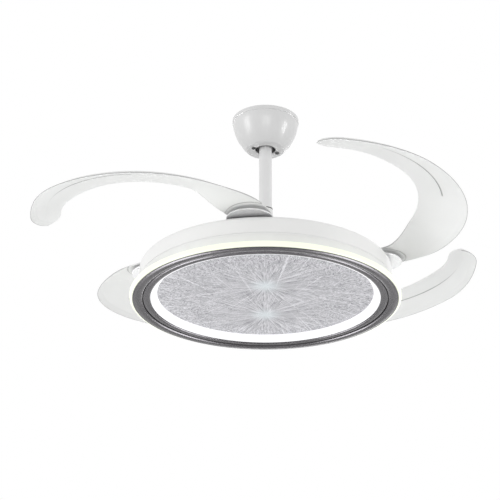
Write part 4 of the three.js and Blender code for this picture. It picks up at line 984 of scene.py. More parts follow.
class FAN_OT_hanging_rod(FanOperator, bpy.types.Operator):
    """Make the hanging rod, the yoke with its collar, a black ring as painted shadow under the collar's lip, and
    the cross pin.
    """

    bl_idname = "fan.hanging_rod"
    bl_label = "Hanging rod"

    def rod(self, sizes):
        """A tube with broken edges. Also gives its radius and the height of its foot."""
        radius, low, high = turned_size("downrod")
        edge = sizes.end_round
        profile = rounded([
            (radius, low, edge),
            (radius, high, edge),
            (radius - sizes.rod_wall, high, edge),
            (radius - sizes.rod_wall, low, edge),
        ])
        turned_part("downrod", profile, steps=96)
        return radius, low

    def yoke(self, sizes, rod_radius, rod_foot):
        """The yoke's profile runs down the collar and its groove, over the shoulder and up the
        bores for shaft and rod. A black ring in that groove is a painted shadow, for the shadow line under the
        collar's lip."""
        radius, low, high = turned_size("yoke_collar")
        lip = 1.0 * MM
        bore = rod_radius + FIT_GAP
        shoulder = high - sizes.collar_height
        shadow_ring_top = high - lip
        shadow_ring_foot = shadow_ring_top - sizes.shadow_ring_height
        groove = sizes.collar_radius - sizes.shadow_ring_depth
        profile = rounded([
            (bore, high, 0.2 * MM),
            (sizes.collar_radius, high, 0.3 * MM),
            (sizes.collar_radius, shadow_ring_top, 0.2 * MM),
            (groove, shadow_ring_top, 0),
            (groove, shadow_ring_foot, 0),
            (sizes.collar_radius, shadow_ring_foot, 0.2 * MM),
            (sizes.collar_radius, shoulder, 0.8 * MM),
            (radius, shoulder, 1.0 * MM),
            (radius, low, 1.5 * MM),
            (sizes.shaft_radius, low, 0.4 * MM),
            (sizes.shaft_radius, rod_foot - FIT_GAP, 0),
            (bore, rod_foot - FIT_GAP, 0),
        ])
        turned_part("yoke_collar", profile, steps=96)
        # painted shadow: a black ring in the groove under the collar's lip stands for the shadow line there
        hair = 0.02 * MM
        shadow_ring_radius = sizes.collar_radius - 0.1 * MM
        shadow_ring_profile = rounded([
            (groove + hair, shadow_ring_foot + hair, 0),
            (shadow_ring_radius, shadow_ring_foot + hair, 0.3 * MM),
            (shadow_ring_radius, shadow_ring_top - hair, 0.3 * MM),
            (groove + hair, shadow_ring_top - hair, 0),
        ])
        piece = turned("collar_shadow_ring", shadow_ring_profile, steps=96)
        piece.data.materials.append(FINISHES["black_plastic"])
        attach(piece, BODY_OF["yoke_collar"])

    def cross_pin(self, sizes):
        """The pin and its head, turned about Z and laid over along X."""
        low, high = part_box("clevis_pin")
        middle = (low + high) / 2
        head = (high.z - low.z) / 2
        seat = high.x - sizes.pin_head
        profile = rounded([
            (0, low.x, 0),
            (sizes.pin_radius, low.x, 0.5 * MM),
            (sizes.pin_radius, seat, 0),
            (head, seat, 0.2 * MM),
            (head, high.x, 0.9 * MM),
            (0, high.x, 0),
        ], closed=False)
        place = Matrix.Translation((0, 0, middle.z)) @ Matrix.Rotation(pi / 2, 4, "Y")
        turned_part("clevis_pin", profile, steps=48, closed=False, place=place)

    def execute(self, context):
        sizes = context.scene.fan_hanger
        self.yoke(sizes, *self.rod(sizes))
        self.cross_pin(sizes)
        return {"FINISHED"}


class FAN_OT_motor_covers(FanOperator, bpy.types.Operator):
    """Make the two covers of the motor, with the groove where they meet."""

    bl_idname = "fan.motor_covers"
    bl_label = "Motor covers"

    def upper(self, sizes):
        """A round-shouldered cover with a boss round the shaft, bevelled where the covers meet."""
        wall = sizes.wall
        groove = sizes.split_groove
        radius, split, top = turned_size("rotor_cover_upper")
        inner = sizes.shoulder - wall
        upper = rounded([
            (radius - wall, split, 0),
            (radius - groove, split, 0),
            (radius, split + groove, 0.2 * MM),
            (radius, top, sizes.shoulder),
            (sizes.boss_radius + sizes.boss_height, top - sizes.boss_height, 0.8 * MM),
            (sizes.boss_radius, top, 0.8 * MM),
            (sizes.shaft_hole, top, 0.5 * MM),
            (sizes.shaft_hole, top - wall, 0),
            (radius - wall, top - wall - sizes.boss_height, inner),
        ])
        turned_part("rotor_cover_upper", upper, steps=160)

    def lower(self, sizes):
        """A flat-bottomed cover, bevelled the same way."""
        wall = sizes.wall
        groove = sizes.split_groove
        radius, foot, split = turned_size("rotor_cover_lower")
        lower = rounded([
            (sizes.shaft_hole, foot, 0.3 * MM),
            (radius, foot, sizes.edge_round),
            (radius, split - groove, 0.2 * MM),
            (radius - groove, split, 0),
            (radius - wall, split, 0),
            (radius - wall, foot + wall, sizes.edge_round - wall / 2),
            (sizes.shaft_hole, foot + wall, 0),
        ])
        turned_part("rotor_cover_lower", lower, steps=160)

    def execute(self, context):
        sizes = context.scene.fan_rotor
        self.upper(sizes)
        self.lower(sizes)
        return {"FINISHED"}


class FAN_OT_blade_carrier(FanOperator, bpy.types.Operator):
    """Make the plate that carries the blades: a round middle and an arm to every pivot."""

    bl_idname = "fan.blade_carrier"
    bl_label = "Blade carrier"

    def edge_radius(self, sizes, pivot, first_turn, angle):
        """Distance from the axis to the plate's outline: the round middle, or the arm's straight
        side at half width over the sine of the angle from the arm's middle, or its round lobe."""
        step = 2 * pi / len(BLADES)
        off = np.abs((angle - first_turn + step / 2) % step - step / 2)
        half = sizes.arm_half_width
        under_root = half ** 2 - (pivot * np.sin(off)) ** 2
        lobe = pivot * np.cos(off) + np.sqrt(np.maximum(under_root, 0))
        side = half / np.maximum(np.sin(off), TINY)
        arm = np.where(side * np.cos(off) <= pivot, side, lobe)
        return np.maximum(arm, sizes.hub_radius)

    def execute(self, context):
        sizes = context.scene.fan_rotor
        low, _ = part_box("blade_carrier")
        bottom = low.z
        top = turned_size("rotor_cover_lower")[1]
        pivots = [Vector(JOINTS[f"blade_swing_{k}"]["pos_m"]) for k in BLADES]
        reach = hypot(pivots[0].x, pivots[0].y)
        first_turn = atan2(pivots[0].y, pivots[0].x)
        edge = sizes.plate_round
        section = rounded([
            (sizes.carrier_bore, bottom, edge),
            (sizes.hub_radius, bottom, edge),
            (sizes.hub_radius, top, edge),
            (sizes.carrier_bore, top, edge),
        ])
        inner = sizes.carrier_bore

        def outline(radius, angle):
            """Stretches the plate between its bore and its outline."""
            outer = self.edge_radius(sizes, reach, first_turn, angle)
            broken = sizes.hub_radius - radius
            near_edge = broken <= 2 * edge
            spread = inner + (radius - inner) * (outer - inner) / (sizes.hub_radius - inner)
            return np.where(near_edge, outer - broken, spread)

        plate = turned("finished_blade_carrier", section, steps=720, outline=outline)
        holes = []
        for pivot in pivots:
            turn = atan2(pivot.y, pivot.x)
            holes.append((pivot.x, pivot.y, sizes.bolt_hole, bottom - MM, top + MM))
            window = (sizes.window_offset * cos(turn), sizes.window_offset * sin(turn))
            holes.append((*window, sizes.window_radius, bottom - MM, top + MM))
        drilled(plate, holes)
        fit(plate, finish_of("blade_carrier"), "blade_carrier")
        self.stop_pins(sizes, pivots, top)
        return {"FINISHED"}

    def stop_pins(self, sizes, pivots, top):
        """Two pins on a circle round each pivot, which stop its blade's lug at either end."""
        profile = rounded([
            (0, top, 0),
            (sizes.stop_radius, top, 0),
            (sizes.stop_radius, LAMP_FOOT + sizes.stop_top, 0.6 * MM),
            (0, LAMP_FOOT + sizes.stop_top, 0),
        ], closed=False)
        for k, pivot in zip(BLADES, pivots):
            turn = atan2(pivot.y, pivot.x)
            for side, angle in (("open", sizes.stop_open), ("folded", sizes.stop_folded)):
                x = pivot.x + sizes.stop_offset * cos(turn + angle)
                y = pivot.y + sizes.stop_offset * sin(turn + angle)
                pin = turned(f"stop_pin_{side}_{k}", profile, steps=32, closed=False,
                             place=Matrix.Translation((x, y, 0)))
                pin.data.materials.append(finish_of("blade_carrier"))
                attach(pin, BODY_OF["blade_carrier"])


class FAN_OT_pivots(FanOperator, bpy.types.Operator):
    """Make each pivot's hub with its lug, the clamp ring over the blade and the bolt."""

    bl_idname = "fan.pivots"
    bl_label = "Blade pivots"

    def hub(self, sizes, bottom, top):
        """A disc with a boss. On one side the disc's edge grows out into the lug."""
        lug_half = sizes.lug_width / 2
        section = rounded([
            (sizes.bore, bottom, 0.3 * MM),
            (sizes.hub_radius, bottom, 0.5 * MM),
            (sizes.hub_radius, sizes.hub_top, 0.5 * MM),
            (sizes.boss_radius, sizes.hub_top, 0),
            (sizes.boss_radius, top, 0.4 * MM),
            (sizes.bore, top, 0.4 * MM),
        ])

        def outline(radius, angle):
            """The disc's edge, or the lug's side and end near the lug's direction."""
            short_of_square = 1.4
            off = np.abs((angle - sizes.lug_angle + pi) % (2 * pi) - pi)
            side = lug_half / np.maximum(np.sin(np.minimum(off, pi / 2)), TINY)
            end = sizes.lug_reach / np.cos(np.minimum(off, short_of_square))
            lug = np.where(off < pi / 2, np.minimum(side, end), 0)
            edge = np.maximum(sizes.hub_radius, lug)
            grown = np.maximum(radius - sizes.boss_radius, 0)
            return radius + grown * (edge - sizes.hub_radius) / (
                sizes.hub_radius - sizes.boss_radius)

        return turned("hub", section, steps=360, outline=outline)

    def clamp(self, sizes, bottom, top):
        """A ring with a dished face and a rounded outer edge."""
        inner = sizes.clamp_bore
        inner_rim = inner + 2.4 * MM
        outer_rim = sizes.clamp_radius - 4 * MM
        dish = top - 0.8 * MM
        section = rounded([
            (inner, bottom, 0.2 * MM),
            (sizes.clamp_radius, bottom, 0.3 * MM),
            (sizes.clamp_radius, top, 1.5 * MM),
            (outer_rim, top, 0.8 * MM),
            (outer_rim - MM, dish, 0.6 * MM),
            (inner_rim + 0.8 * MM, dish, 0.6 * MM),
            (inner_rim, top, 0.4 * MM),
            (inner, top, 0.4 * MM),
        ])
        return turned("clamp", section, steps=128)

    def bolt(self, sizes, low, high):
        """A shank and a round head with a hexagon socket."""
        seat = high - sizes.bolt_head_height
        floor = high - sizes.socket_depth
        profile = rounded([
            (0, low, 0),
            (sizes.bolt_radius, low, 0.5 * MM),
            (sizes.bolt_radius, seat, 0),
            (sizes.bolt_head_radius, seat, 0.3 * MM),
            (sizes.bolt_head_radius, high, 1.3 * MM),
            (sizes.socket_radius, high, 0.2 * MM),
            (sizes.socket_radius, floor, 0),
            (0, floor, 0),
        ], closed=False)
        socket = hexagon(sizes.socket_radius)
        return turned("bolt", profile, steps=96, closed=False, outline=socket)

    def execute(self, context):
        sizes = context.scene.fan_pivot

        def over_foot(node_name):
            """Lowest and highest height of a node over the lamp's foot."""
            low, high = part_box(node_name)
            return low.z - LAMP_FOOT, high.z - LAMP_FOOT

        patterns = {
            "blade_hub": self.hub(sizes, *over_foot("blade_hub_1")),
            "blade_clamp": self.clamp(sizes, *over_foot("blade_clamp_1")),
            "pivot_bolt": self.bolt(sizes, *over_foot("pivot_bolt_1")),
        }
        for kind, pattern in patterns.items():
            copies_at_pivots(kind, pattern)
        return {"FINISHED"}


def copies_at_pivots(kind, pattern):
    """A copy of a pattern piece at every blade's pivot, then the pattern goes."""
    for number in BLADES:
        name = f"{kind}_{number}"
        mesh = pattern.data.copy()
        mesh.transform(pivot_place(number))
        fit(linked(f"finished_{name}", mesh), finish_of(name), name)
    bpy.data.meshes.remove(pattern.data)


class FAN_OT_blades(FanOperator, bpy.types.Operator):
    """Make the four curved, pitched, frosted blades."""

    bl_idname = "fan.blades"
    bl_label = "Blades"

    SHARP = 60  # degrees: a blade's faces that meet at more than this keep a sharp edge
    FOLD_GROWS = (0.25, 0.5)  # shares of the length over which the fold reaches its full depth
    LINE_STARTS = 0.015  # share of the length over which the fold's line starts
    LINE_FADES = 0.62  # share of the length from which that line fades
    LINE_GROOVE = 0.9 * MM  # depth of the groove in that line
    LIP_BEND = 2 * MM  # width over which the lip's first part turns down
    LIP_PARTS = (0.35, 0.65)  # shares of the lip's drop at its start and on to its edge
    STEP_EDGE = 0.4 * MM  # half width of the edge of the root's disc
    STEP_FADES = (90 * MM, 160 * MM)  # distances over which the step beyond the disc runs out
    OUTER_EDGE = (1.8 * MM, 0.4 * MM)  # where the outer edge's line of painted shade starts and is full
    OUTER_GROWS = (0.02, 0.1)  # shares of the length over which it appears
    INNER_EDGE = (1.6 * MM, 0.4 * MM)  # the same for the inner edge's line
    INNER_GROWS = (0.02, 0.06)  # shares of the length over which that one appears
    INNER_FADES = (0.16, 0.3)  # and over which it fades
    DISC_LINE = 0.9 * MM  # half width of the painted shade line round the root's disc, on the underside
    LINE_SHADE_LEVELS = (0.9, 0.6, 0.5, 0.7)  # how dark the painted shade is: of the fold, the outer edge, the inner one and the disc

    def along(self, share, root, middle, tip):
        """The quadratic through a value at the root, one halfway and one at the tip."""
        return (root * (1 - share) * (1 - 2 * share) + middle * 4 * share * (1 - share)
                + tip * share * (2 * share - 1))

    def centre_line(self, sizes, distance):
        """Place and heading on the centre line: the heading falls by the bend, which is
        quadratic in the share of the length, and the place is the sum of the short steps."""
        steps = 400
        share = np.arange(steps) / steps
        bend = self.along(share, sizes.bend_root, sizes.bend_middle, sizes.bend_tip) / steps
        turned_by = np.concatenate([[0], np.cumsum(bend)])
        ahead = sizes.heading - turned_by[:-1] - bend / 2
        step = sizes.reach / steps
        x = np.concatenate([[0], np.cumsum(np.cos(ahead)) * step])
        y = np.concatenate([[0], np.cumsum(np.sin(ahead)) * step])
        stations = np.arange(steps + 1) * step
        inside = np.maximum(distance, 0)
        heading = sizes.heading - np.interp(inside, stations, turned_by)
        back = np.minimum(distance, 0)
        return (np.interp(inside, stations, x) + back * np.cos(heading),
                np.interp(inside, stations, y) + back * np.sin(heading), heading)

    def tip_round(self, sizes, share):
        """1 along the blade, then a quarter ellipse down to 0 at the tip."""
        into = np.maximum(share - (1 - sizes.tip_share), 0) / sizes.tip_share
        return np.sqrt(np.maximum(1 - into ** 2, 0))

    def width(self, sizes, distance):
        """A half circle before the pivot, then S curves between the stations' widths."""
        share = np.clip(distance / sizes.reach, 0, 1)
        places = [0, 1 / 3, 2 / 3, 1 - sizes.tip_share]
        widths = [sizes.width_root, sizes.width_third, sizes.width_two_thirds, sizes.width_tip]
        width = np.full_like(share, widths[0])
        for k in range(3):
            rise = smooth(share, places[k], places[k + 1])
            width = width + (widths[k + 1] - widths[k]) * rise
        radius = sizes.width_root / 2
        root = 2 * np.sqrt(np.maximum(radius ** 2 - distance ** 2, 0))
        return np.where(distance < 0, root, width * self.tip_round(sizes, share))

    def stations(self, sizes):
        """Distances of the cross-sections: closest where the root's disc ends and at the ends."""
        radius = sizes.width_root / 2
        tip = sizes.reach * (1 - sizes.tip_share)
        quarter = np.cos(np.linspace(0, pi / 2, 25))
        coarse = 2.0 * MM
        fine = 0.5 * MM
        before = sizes.root_disc - 10 * MM
        beyond = sizes.root_disc + 4 * MM
        return np.concatenate([
            -radius * quarter[:-1],
            np.arange(0, before, coarse),
            np.arange(before, beyond, fine),
            np.linspace(beyond, tip, 180)[:-1],
            tip + (sizes.reach - tip) * quarter[::-1],
        ])

    def loop(self, columns, edge_steps):
        """Once round a section: share across, and the two sides of the round edges. The points
        crowd towards the middle and the edges."""
        crowding = 0.6
        even = np.linspace(-1, 1, columns + 1)
        across = even - crowding * np.sin(2 * pi * even) / (2 * pi)
        swing = np.linspace(pi / 2, -pi / 2, edge_steps + 1)[1:-1]
        flat = np.zeros_like(across)
        side = np.ones_like(swing)
        share = np.concatenate([across, side, across[::-1], -side])
        out = np.concatenate([flat, np.cos(swing), flat, -np.cos(swing)])
        up = np.concatenate([flat + 1, np.sin(swing), flat - 1, -np.sin(swing)])
        return share[None, :], out[None, :], up[None, :]

    def pattern(self, sizes):
        """The blade in its own frame. Across the blade, a section is its pitched middle line plus
        an arch, with the fold, the turned-down lip and the thickness added; along it, the
        sections follow the centre line."""
        distance = self.stations(sizes)[:, None]
        share, out, up = self.loop(columns=64, edge_steps=8)
        t = np.clip(distance / sizes.reach, 0, 1)
        x, y, heading = self.centre_line(sizes, distance)
        half = self.width(sizes, distance) / 2 * (1 - sizes.clearance / sizes.width_root)
        full = smooth(distance, sizes.flat_end, sizes.twist_end)
        pitch = self.along(t, sizes.pitch_root, sizes.pitch_middle, sizes.pitch_tip) * full
        height = self.along(t, 0, sizes.rise_middle, sizes.rise_tip) * full
        height = height + sizes.root_bottom + sizes.root_thickness / 2
        edge = np.minimum(mix(sizes.root_thickness, sizes.edge_thickness, full) / 2, half)
        offset = share * (half - edge) + out * edge
        place = offset / np.maximum(half, TINY)
        crown = np.clip(1 - place ** 2, 0, 1) * self.tip_round(sizes, t)
        skin = mix(sizes.edge_thickness, sizes.thickness, crown)
        thickness = np.minimum(mix(sizes.root_thickness, skin, full), 2 * half)
        fold = (1 - np.abs(place)) * smooth(t, *self.FOLD_GROWS) * self.tip_round(sizes, t)
        line_window = (smooth(t, sizes.fold_from, sizes.fold_from + self.LINE_STARTS)
                       * (1 - smooth(t, self.LINE_FADES, sizes.fold_to)))
        groove = np.exp(-((offset / sizes.fold_line) ** 2)) * line_window
        bend_share, edge_share = self.LIP_PARTS
        lip_start = half - sizes.lip_width
        lip = bend_share * smooth(offset, lip_start, lip_start + self.LIP_BEND)
        lip = (lip + edge_share * smooth(offset, lip_start, half) ** 2) * full
        from_pivot = np.hypot(distance, offset)
        outside = smooth(from_pivot, sizes.root_disc - self.STEP_EDGE,
                         sizes.root_disc + self.STEP_EDGE)
        step = np.where(distance > 0, outside, 0) * (1 - smooth(distance, *self.STEP_FADES))
        middle = (height - offset * np.sin(pitch) + sizes.camber * crown * full
                  + sizes.fold_depth * fold - self.LINE_GROOVE * groove - sizes.lip_drop * lip)
        z = middle + up * thickness / 2 + np.where(up < 0, sizes.root_step * step, 0)
        reach = offset * np.cos(pitch)
        grid = np.stack([x - reach * np.sin(heading), y + reach * np.cos(heading), z], axis=-1)
        disc = np.exp(-(((from_pivot - sizes.root_disc) / self.DISC_LINE) ** 2))
        disc = np.where((distance > 0) & (up < 0), disc, 0)
        # painted shade where the plastic bends the light away
        line = self.line(t, offset, half, groove, disc)
        marks = {"line": line, "along": t + 0 * share}
        return surface("blade", grid, marks=marks, sharp=self.SHARP)

    def line(self, t, offset, half, groove, disc):
        """How dark the painted shade makes the plastic at each point, where it bends the light away:
        along the fold, near the two edges and round the root's disc."""
        outer_start, outer_full = self.OUTER_EDGE
        outer = smooth(offset, half - outer_start, half - outer_full)
        outer = outer * smooth(t, *self.OUTER_GROWS)
        inner_start, inner_full = self.INNER_EDGE
        inner = smooth(-offset, half - inner_start, half - inner_full)
        inner = inner * smooth(t, *self.INNER_GROWS) * (1 - smooth(t, *self.INNER_FADES))
        marks = zip(self.LINE_SHADE_LEVELS, (groove, outer, inner, disc))
        return np.maximum.reduce([tone * mark for tone, mark in marks])

    def close_ends(self, mesh):
        """Fills the loops that the first and the last section leave open."""
        caps = bmesh.new()
        caps.from_mesh(mesh)
        bmesh.ops.holes_fill(caps, edges=caps.edges, sides=0)
        bmesh.ops.recalc_face_normals(caps, faces=caps.faces)
        caps.to_mesh(mesh)
        caps.free()

    def execute(self, context):
        sizes = context.scene.fan_blade
        pattern = self.pattern(sizes)
        self.close_ends(pattern.data)
        drilled(pattern, [(0, 0, sizes.hole, sizes.root_bottom - MM,
                           sizes.root_bottom + sizes.root_thickness + MM)])
        pattern.data.set_sharp_from_angle(angle=radians(self.SHARP))
        copies_at_pivots("blade", pattern)
        return {"FINISHED"}


class FAN_OT_lamp_housing(FanOperator, bpy.types.Operator):
    """Make the lamp's drum, the lower cover under it and the screws that hold them."""

    bl_idname = "fan.lamp_housing"
    bl_label = "Lamp housing"

    def drum(self, sizes):
        """A flat pan of sheet: up its side past the rolled seam, over its round edge and in to
        the bore, then back along its inside."""
        radius, foot, top = turned_size("lamp_chassis")
        wall = sizes.drum_wall
        bore = node_bore("lamp_chassis")
        seam_foot = foot + sizes.seam_height
        seam_top = seam_foot + sizes.seam_gap
        drum = rounded([
            (radius, foot, 0.4 * MM),
            (radius, seam_foot, 0.2 * MM),
            (radius - sizes.seam_depth, seam_foot, 0),
            (radius - sizes.seam_depth, seam_top, 0),
            (radius, seam_top, 0.3 * MM),
            (radius, top, sizes.drum_round),
            (bore, top, 0.4 * MM),
            (bore, top - wall, 0),
            (radius - wall, top - wall, sizes.drum_round - wall),
            (radius - wall, foot, 0.4 * MM),
        ])
        turned_part("lamp_chassis", drum, sizes.facets)

    def skirt(self, sizes):
        """The lower cover: its flange, its side up to the step, and the rim inside the drum."""
        radius, bottom, spigot_top = turned_size("cover_skirt")
        wall = sizes.skirt_wall
        edge = sizes.skirt_round
        step = LAMP_FOOT + sizes.skirt_step
        spigot_inner = sizes.spigot_radius - sizes.spigot_wall
        skirt = rounded([
            (sizes.skirt_lip, bottom, 0.3 * MM),
            (radius, bottom, edge),
            (radius, step, edge),
            (sizes.spigot_radius, step, 0.2 * MM),
            (sizes.spigot_radius, spigot_top, 0.5 * MM),
            (spigot_inner, spigot_top, 0.5 * MM),
            (spigot_inner, step - wall, 0.5 * MM),
            (radius - wall, step - wall, 0.5 * MM),
            (radius - wall, bottom + wall, 0.5 * MM),
            (sizes.skirt_lip, bottom + wall, 0.3 * MM),
        ])
        turned_part("cover_skirt", skirt, sizes.facets)

    def screws(self):
        """Each screw lies along its own radius: it is made along Z and laid over."""
        for number in (1, 2, 3):
            name = f"chassis_screw_{number}"
            low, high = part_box(name)
            middle = (low + high) / 2
            head = (high.z - low.z) / 2
            at = node_points(name)
            distance = np.hypot(at[:, 0], at[:, 1])
            quarter = pi / 2
            turn = round(atan2(middle.y, middle.x) / quarter) * quarter
            place = (Matrix.Translation((0, 0, middle.z)) @ Matrix.Rotation(turn, 4, "Z")
                     @ Matrix.Rotation(quarter, 4, "Y"))
            screw = pan_screw(f"finished_{name}", head=head, shank=head / 2,
                              seat=distance.max() - head / 2, end=distance.min(),
                              crown=head / 2, place=place)
            fit(screw, finish_of(name), name)

    def execute(self, context):
        sizes = context.scene.fan_lamp
        self.drum(sizes)
        self.skirt(sizes)
        self.screws()
        return {"FINISHED"}


class FAN_OT_light_rings(FanOperator, bpy.types.Operator):
    """Make the lit ring, the dark plated trim with its two bands and the lit wall."""

    bl_idname = "fan.light_rings"
    bl_label = "Light rings"

    def glow(self, sizes):
        """A thick round-edged rim and the thin flange behind the trim."""
        radius, bottom, top = turned_size("glow_ring")
        profile = rounded([
            (sizes.rim, bottom, 0.2 * MM),
            (radius, bottom, sizes.glow_round),
            (radius, top, sizes.glow_round),
            (sizes.glow_inner, top, 0),
            (sizes.glow_inner, top - sizes.glow_flange, 0),
            (sizes.rim, top - sizes.glow_flange, 0),
        ])
        turned_part("glow_ring", profile, sizes.facets)

    def band(self, inner, outer, depth, base, count):
        """A flattened half wave, the sine to a power, that bulges down from the base. The points
        crowd towards its ends, where it is steep."""
        flatness = 0.3
        share = (1 - np.cos(np.linspace(0, pi, count))) / 2
        bulge = np.abs(np.sin(pi * share)) ** flatness
        return np.stack([mix(inner, outer, share), base - depth * bulge], axis=1)

    def trim(self, sizes):
        """The narrow band, which bulges less, the groove and the broad band, then round the back.
        The broad band is nowhere higher than a straight slope from its base to its outer edge."""
        inner_share = 0.6
        back_height = 2.6 * MM
        radius, bottom, top = turned_size("trim_ring")
        base = bottom + sizes.trim_band
        near = sizes.trim_groove - sizes.groove_width / 2
        far = sizes.trim_groove + sizes.groove_width / 2
        inner = self.band(sizes.trim_bore, near, inner_share * sizes.trim_band, base, count=25)
        outer = self.band(far, radius, sizes.trim_band, base, count=49)
        land = mix(base, bottom + sizes.trim_edge / 2, (outer[:, 0] - far) / (radius - far))
        outer[:, 1] = np.minimum(outer[:, 1], land)
        floor = base + sizes.groove_depth
        groove = np.array([(near + 0.1 * MM, floor), (far - 0.1 * MM, floor)])
        rim = sizes.rim - sizes.trim_spigot
        behind = base + back_height
        back = rounded([
            (radius - 0.3 * MM, land[-1], 0),
            (radius, bottom + sizes.trim_edge, 0.4 * MM),
            (rim, bottom + sizes.trim_edge, 0.2 * MM),
            (rim, top, 0.3 * MM),
            (rim - sizes.trim_wall, top, 0.3 * MM),
            (rim - sizes.trim_wall, behind, 0.2 * MM),
            (sizes.trim_bore, behind, 0.3 * MM),
            (sizes.trim_bore, base, 0),
        ], closed=False)
        profile = np.concatenate([inner, groove, outer, back[1:-1]])
        turned_part("trim_ring", profile, sizes.facets, sharp=24)

    def wall(self, sizes):
        """A sheet that narrows from the recess's mouth up to the plate's ledge, with a flange
        outwards at its top."""
        flange, mouth, top = turned_size("diffuser_wall")
        sheet = sizes.wall_sheet
        narrow = sizes.wall_mouth - sizes.wall_flare
        shelf = top - sheet
        profile = rounded([
            (sizes.wall_mouth, mouth, 0.3 * MM),
            (narrow + sheet, shelf, 0.5 * MM),
            (flange, shelf, 0.2 * MM),
            (flange, top, 0.2 * MM),
            (narrow - sizes.wall_ledge, top, 0.3 * MM),
            (narrow - sizes.wall_ledge, shelf, 0.3 * MM),
            (narrow, shelf, 0.6 * MM),
            (sizes.wall_mouth - sheet, mouth, 0.3 * MM),
        ])
        turned_part("diffuser_wall", profile, sizes.facets)

    def execute(self, context):
        sizes = context.scene.fan_lamp
        self.glow(sizes)
        self.trim(sizes)
        self.wall(sizes)
        return {"FINISHED"}


class FAN_OT_crystal_plate(FanOperator, bpy.types.Operator):
    """Make the crystal plate, with the raised rays of its two stars on the underside."""

    bl_idname = "fan.crystal_plate"
    bl_label = "Crystal plate"

    WAVES = ((17, 1.0, 0.6), (29, 0.8, 2.1), (43, 0.6, 4.4))  # count, weight and phase of each

    def rays(self, x, y, reach):
        """Waves round the star's centre that fade with the distance and inside its heart."""
        heart = 0.12 * reach
        distance = np.hypot(x, y)
        angle = np.arctan2(y, x)
        waves = sum(weight * np.cos(count * angle + phase) for count, weight, phase in self.WAVES)
        waves = waves / sum(weight for _, weight, _ in self.WAVES)
        return waves * np.minimum(distance / heart, 1) * np.exp(-distance / reach)

    def execute(self, context):
        crystal = context.scene.fan_crystal
        radius, low, high = turned_size("crystal_plate")
        edge = 0.4 * MM
        profile = np.array(
            [(r, low) for r in np.linspace(0, radius - edge, 90)]
            + [(radius, low + edge), (radius, high - edge), (radius - edge, high), (0, high)])
        piece = turned("finished_crystal_plate", profile, steps=540, closed=False)
        mesh = piece.data
        flat = np.empty(3 * len(mesh.vertices), np.float32)
        mesh.vertices.foreach_get("co", flat)
        at = flat.reshape(-1, 3)
        relief = sum(self.rays(at[:, 0], at[:, 1] - star, crystal.star_reach)
                     for star in (crystal.near_star, crystal.far_star))
        under = at[:, 2] < low + edge / 2
        inside = np.hypot(at[:, 0], at[:, 1]) < radius - 2 * edge
        at[:, 2] += np.where(under & inside, crystal.relief * (1 + relief), 0)
        mesh.vertices.foreach_set("co", at.ravel())
        mesh.update()
        fit(piece, finish_of("crystal_plate"), "crystal_plate")
        return {"FINISHED"}


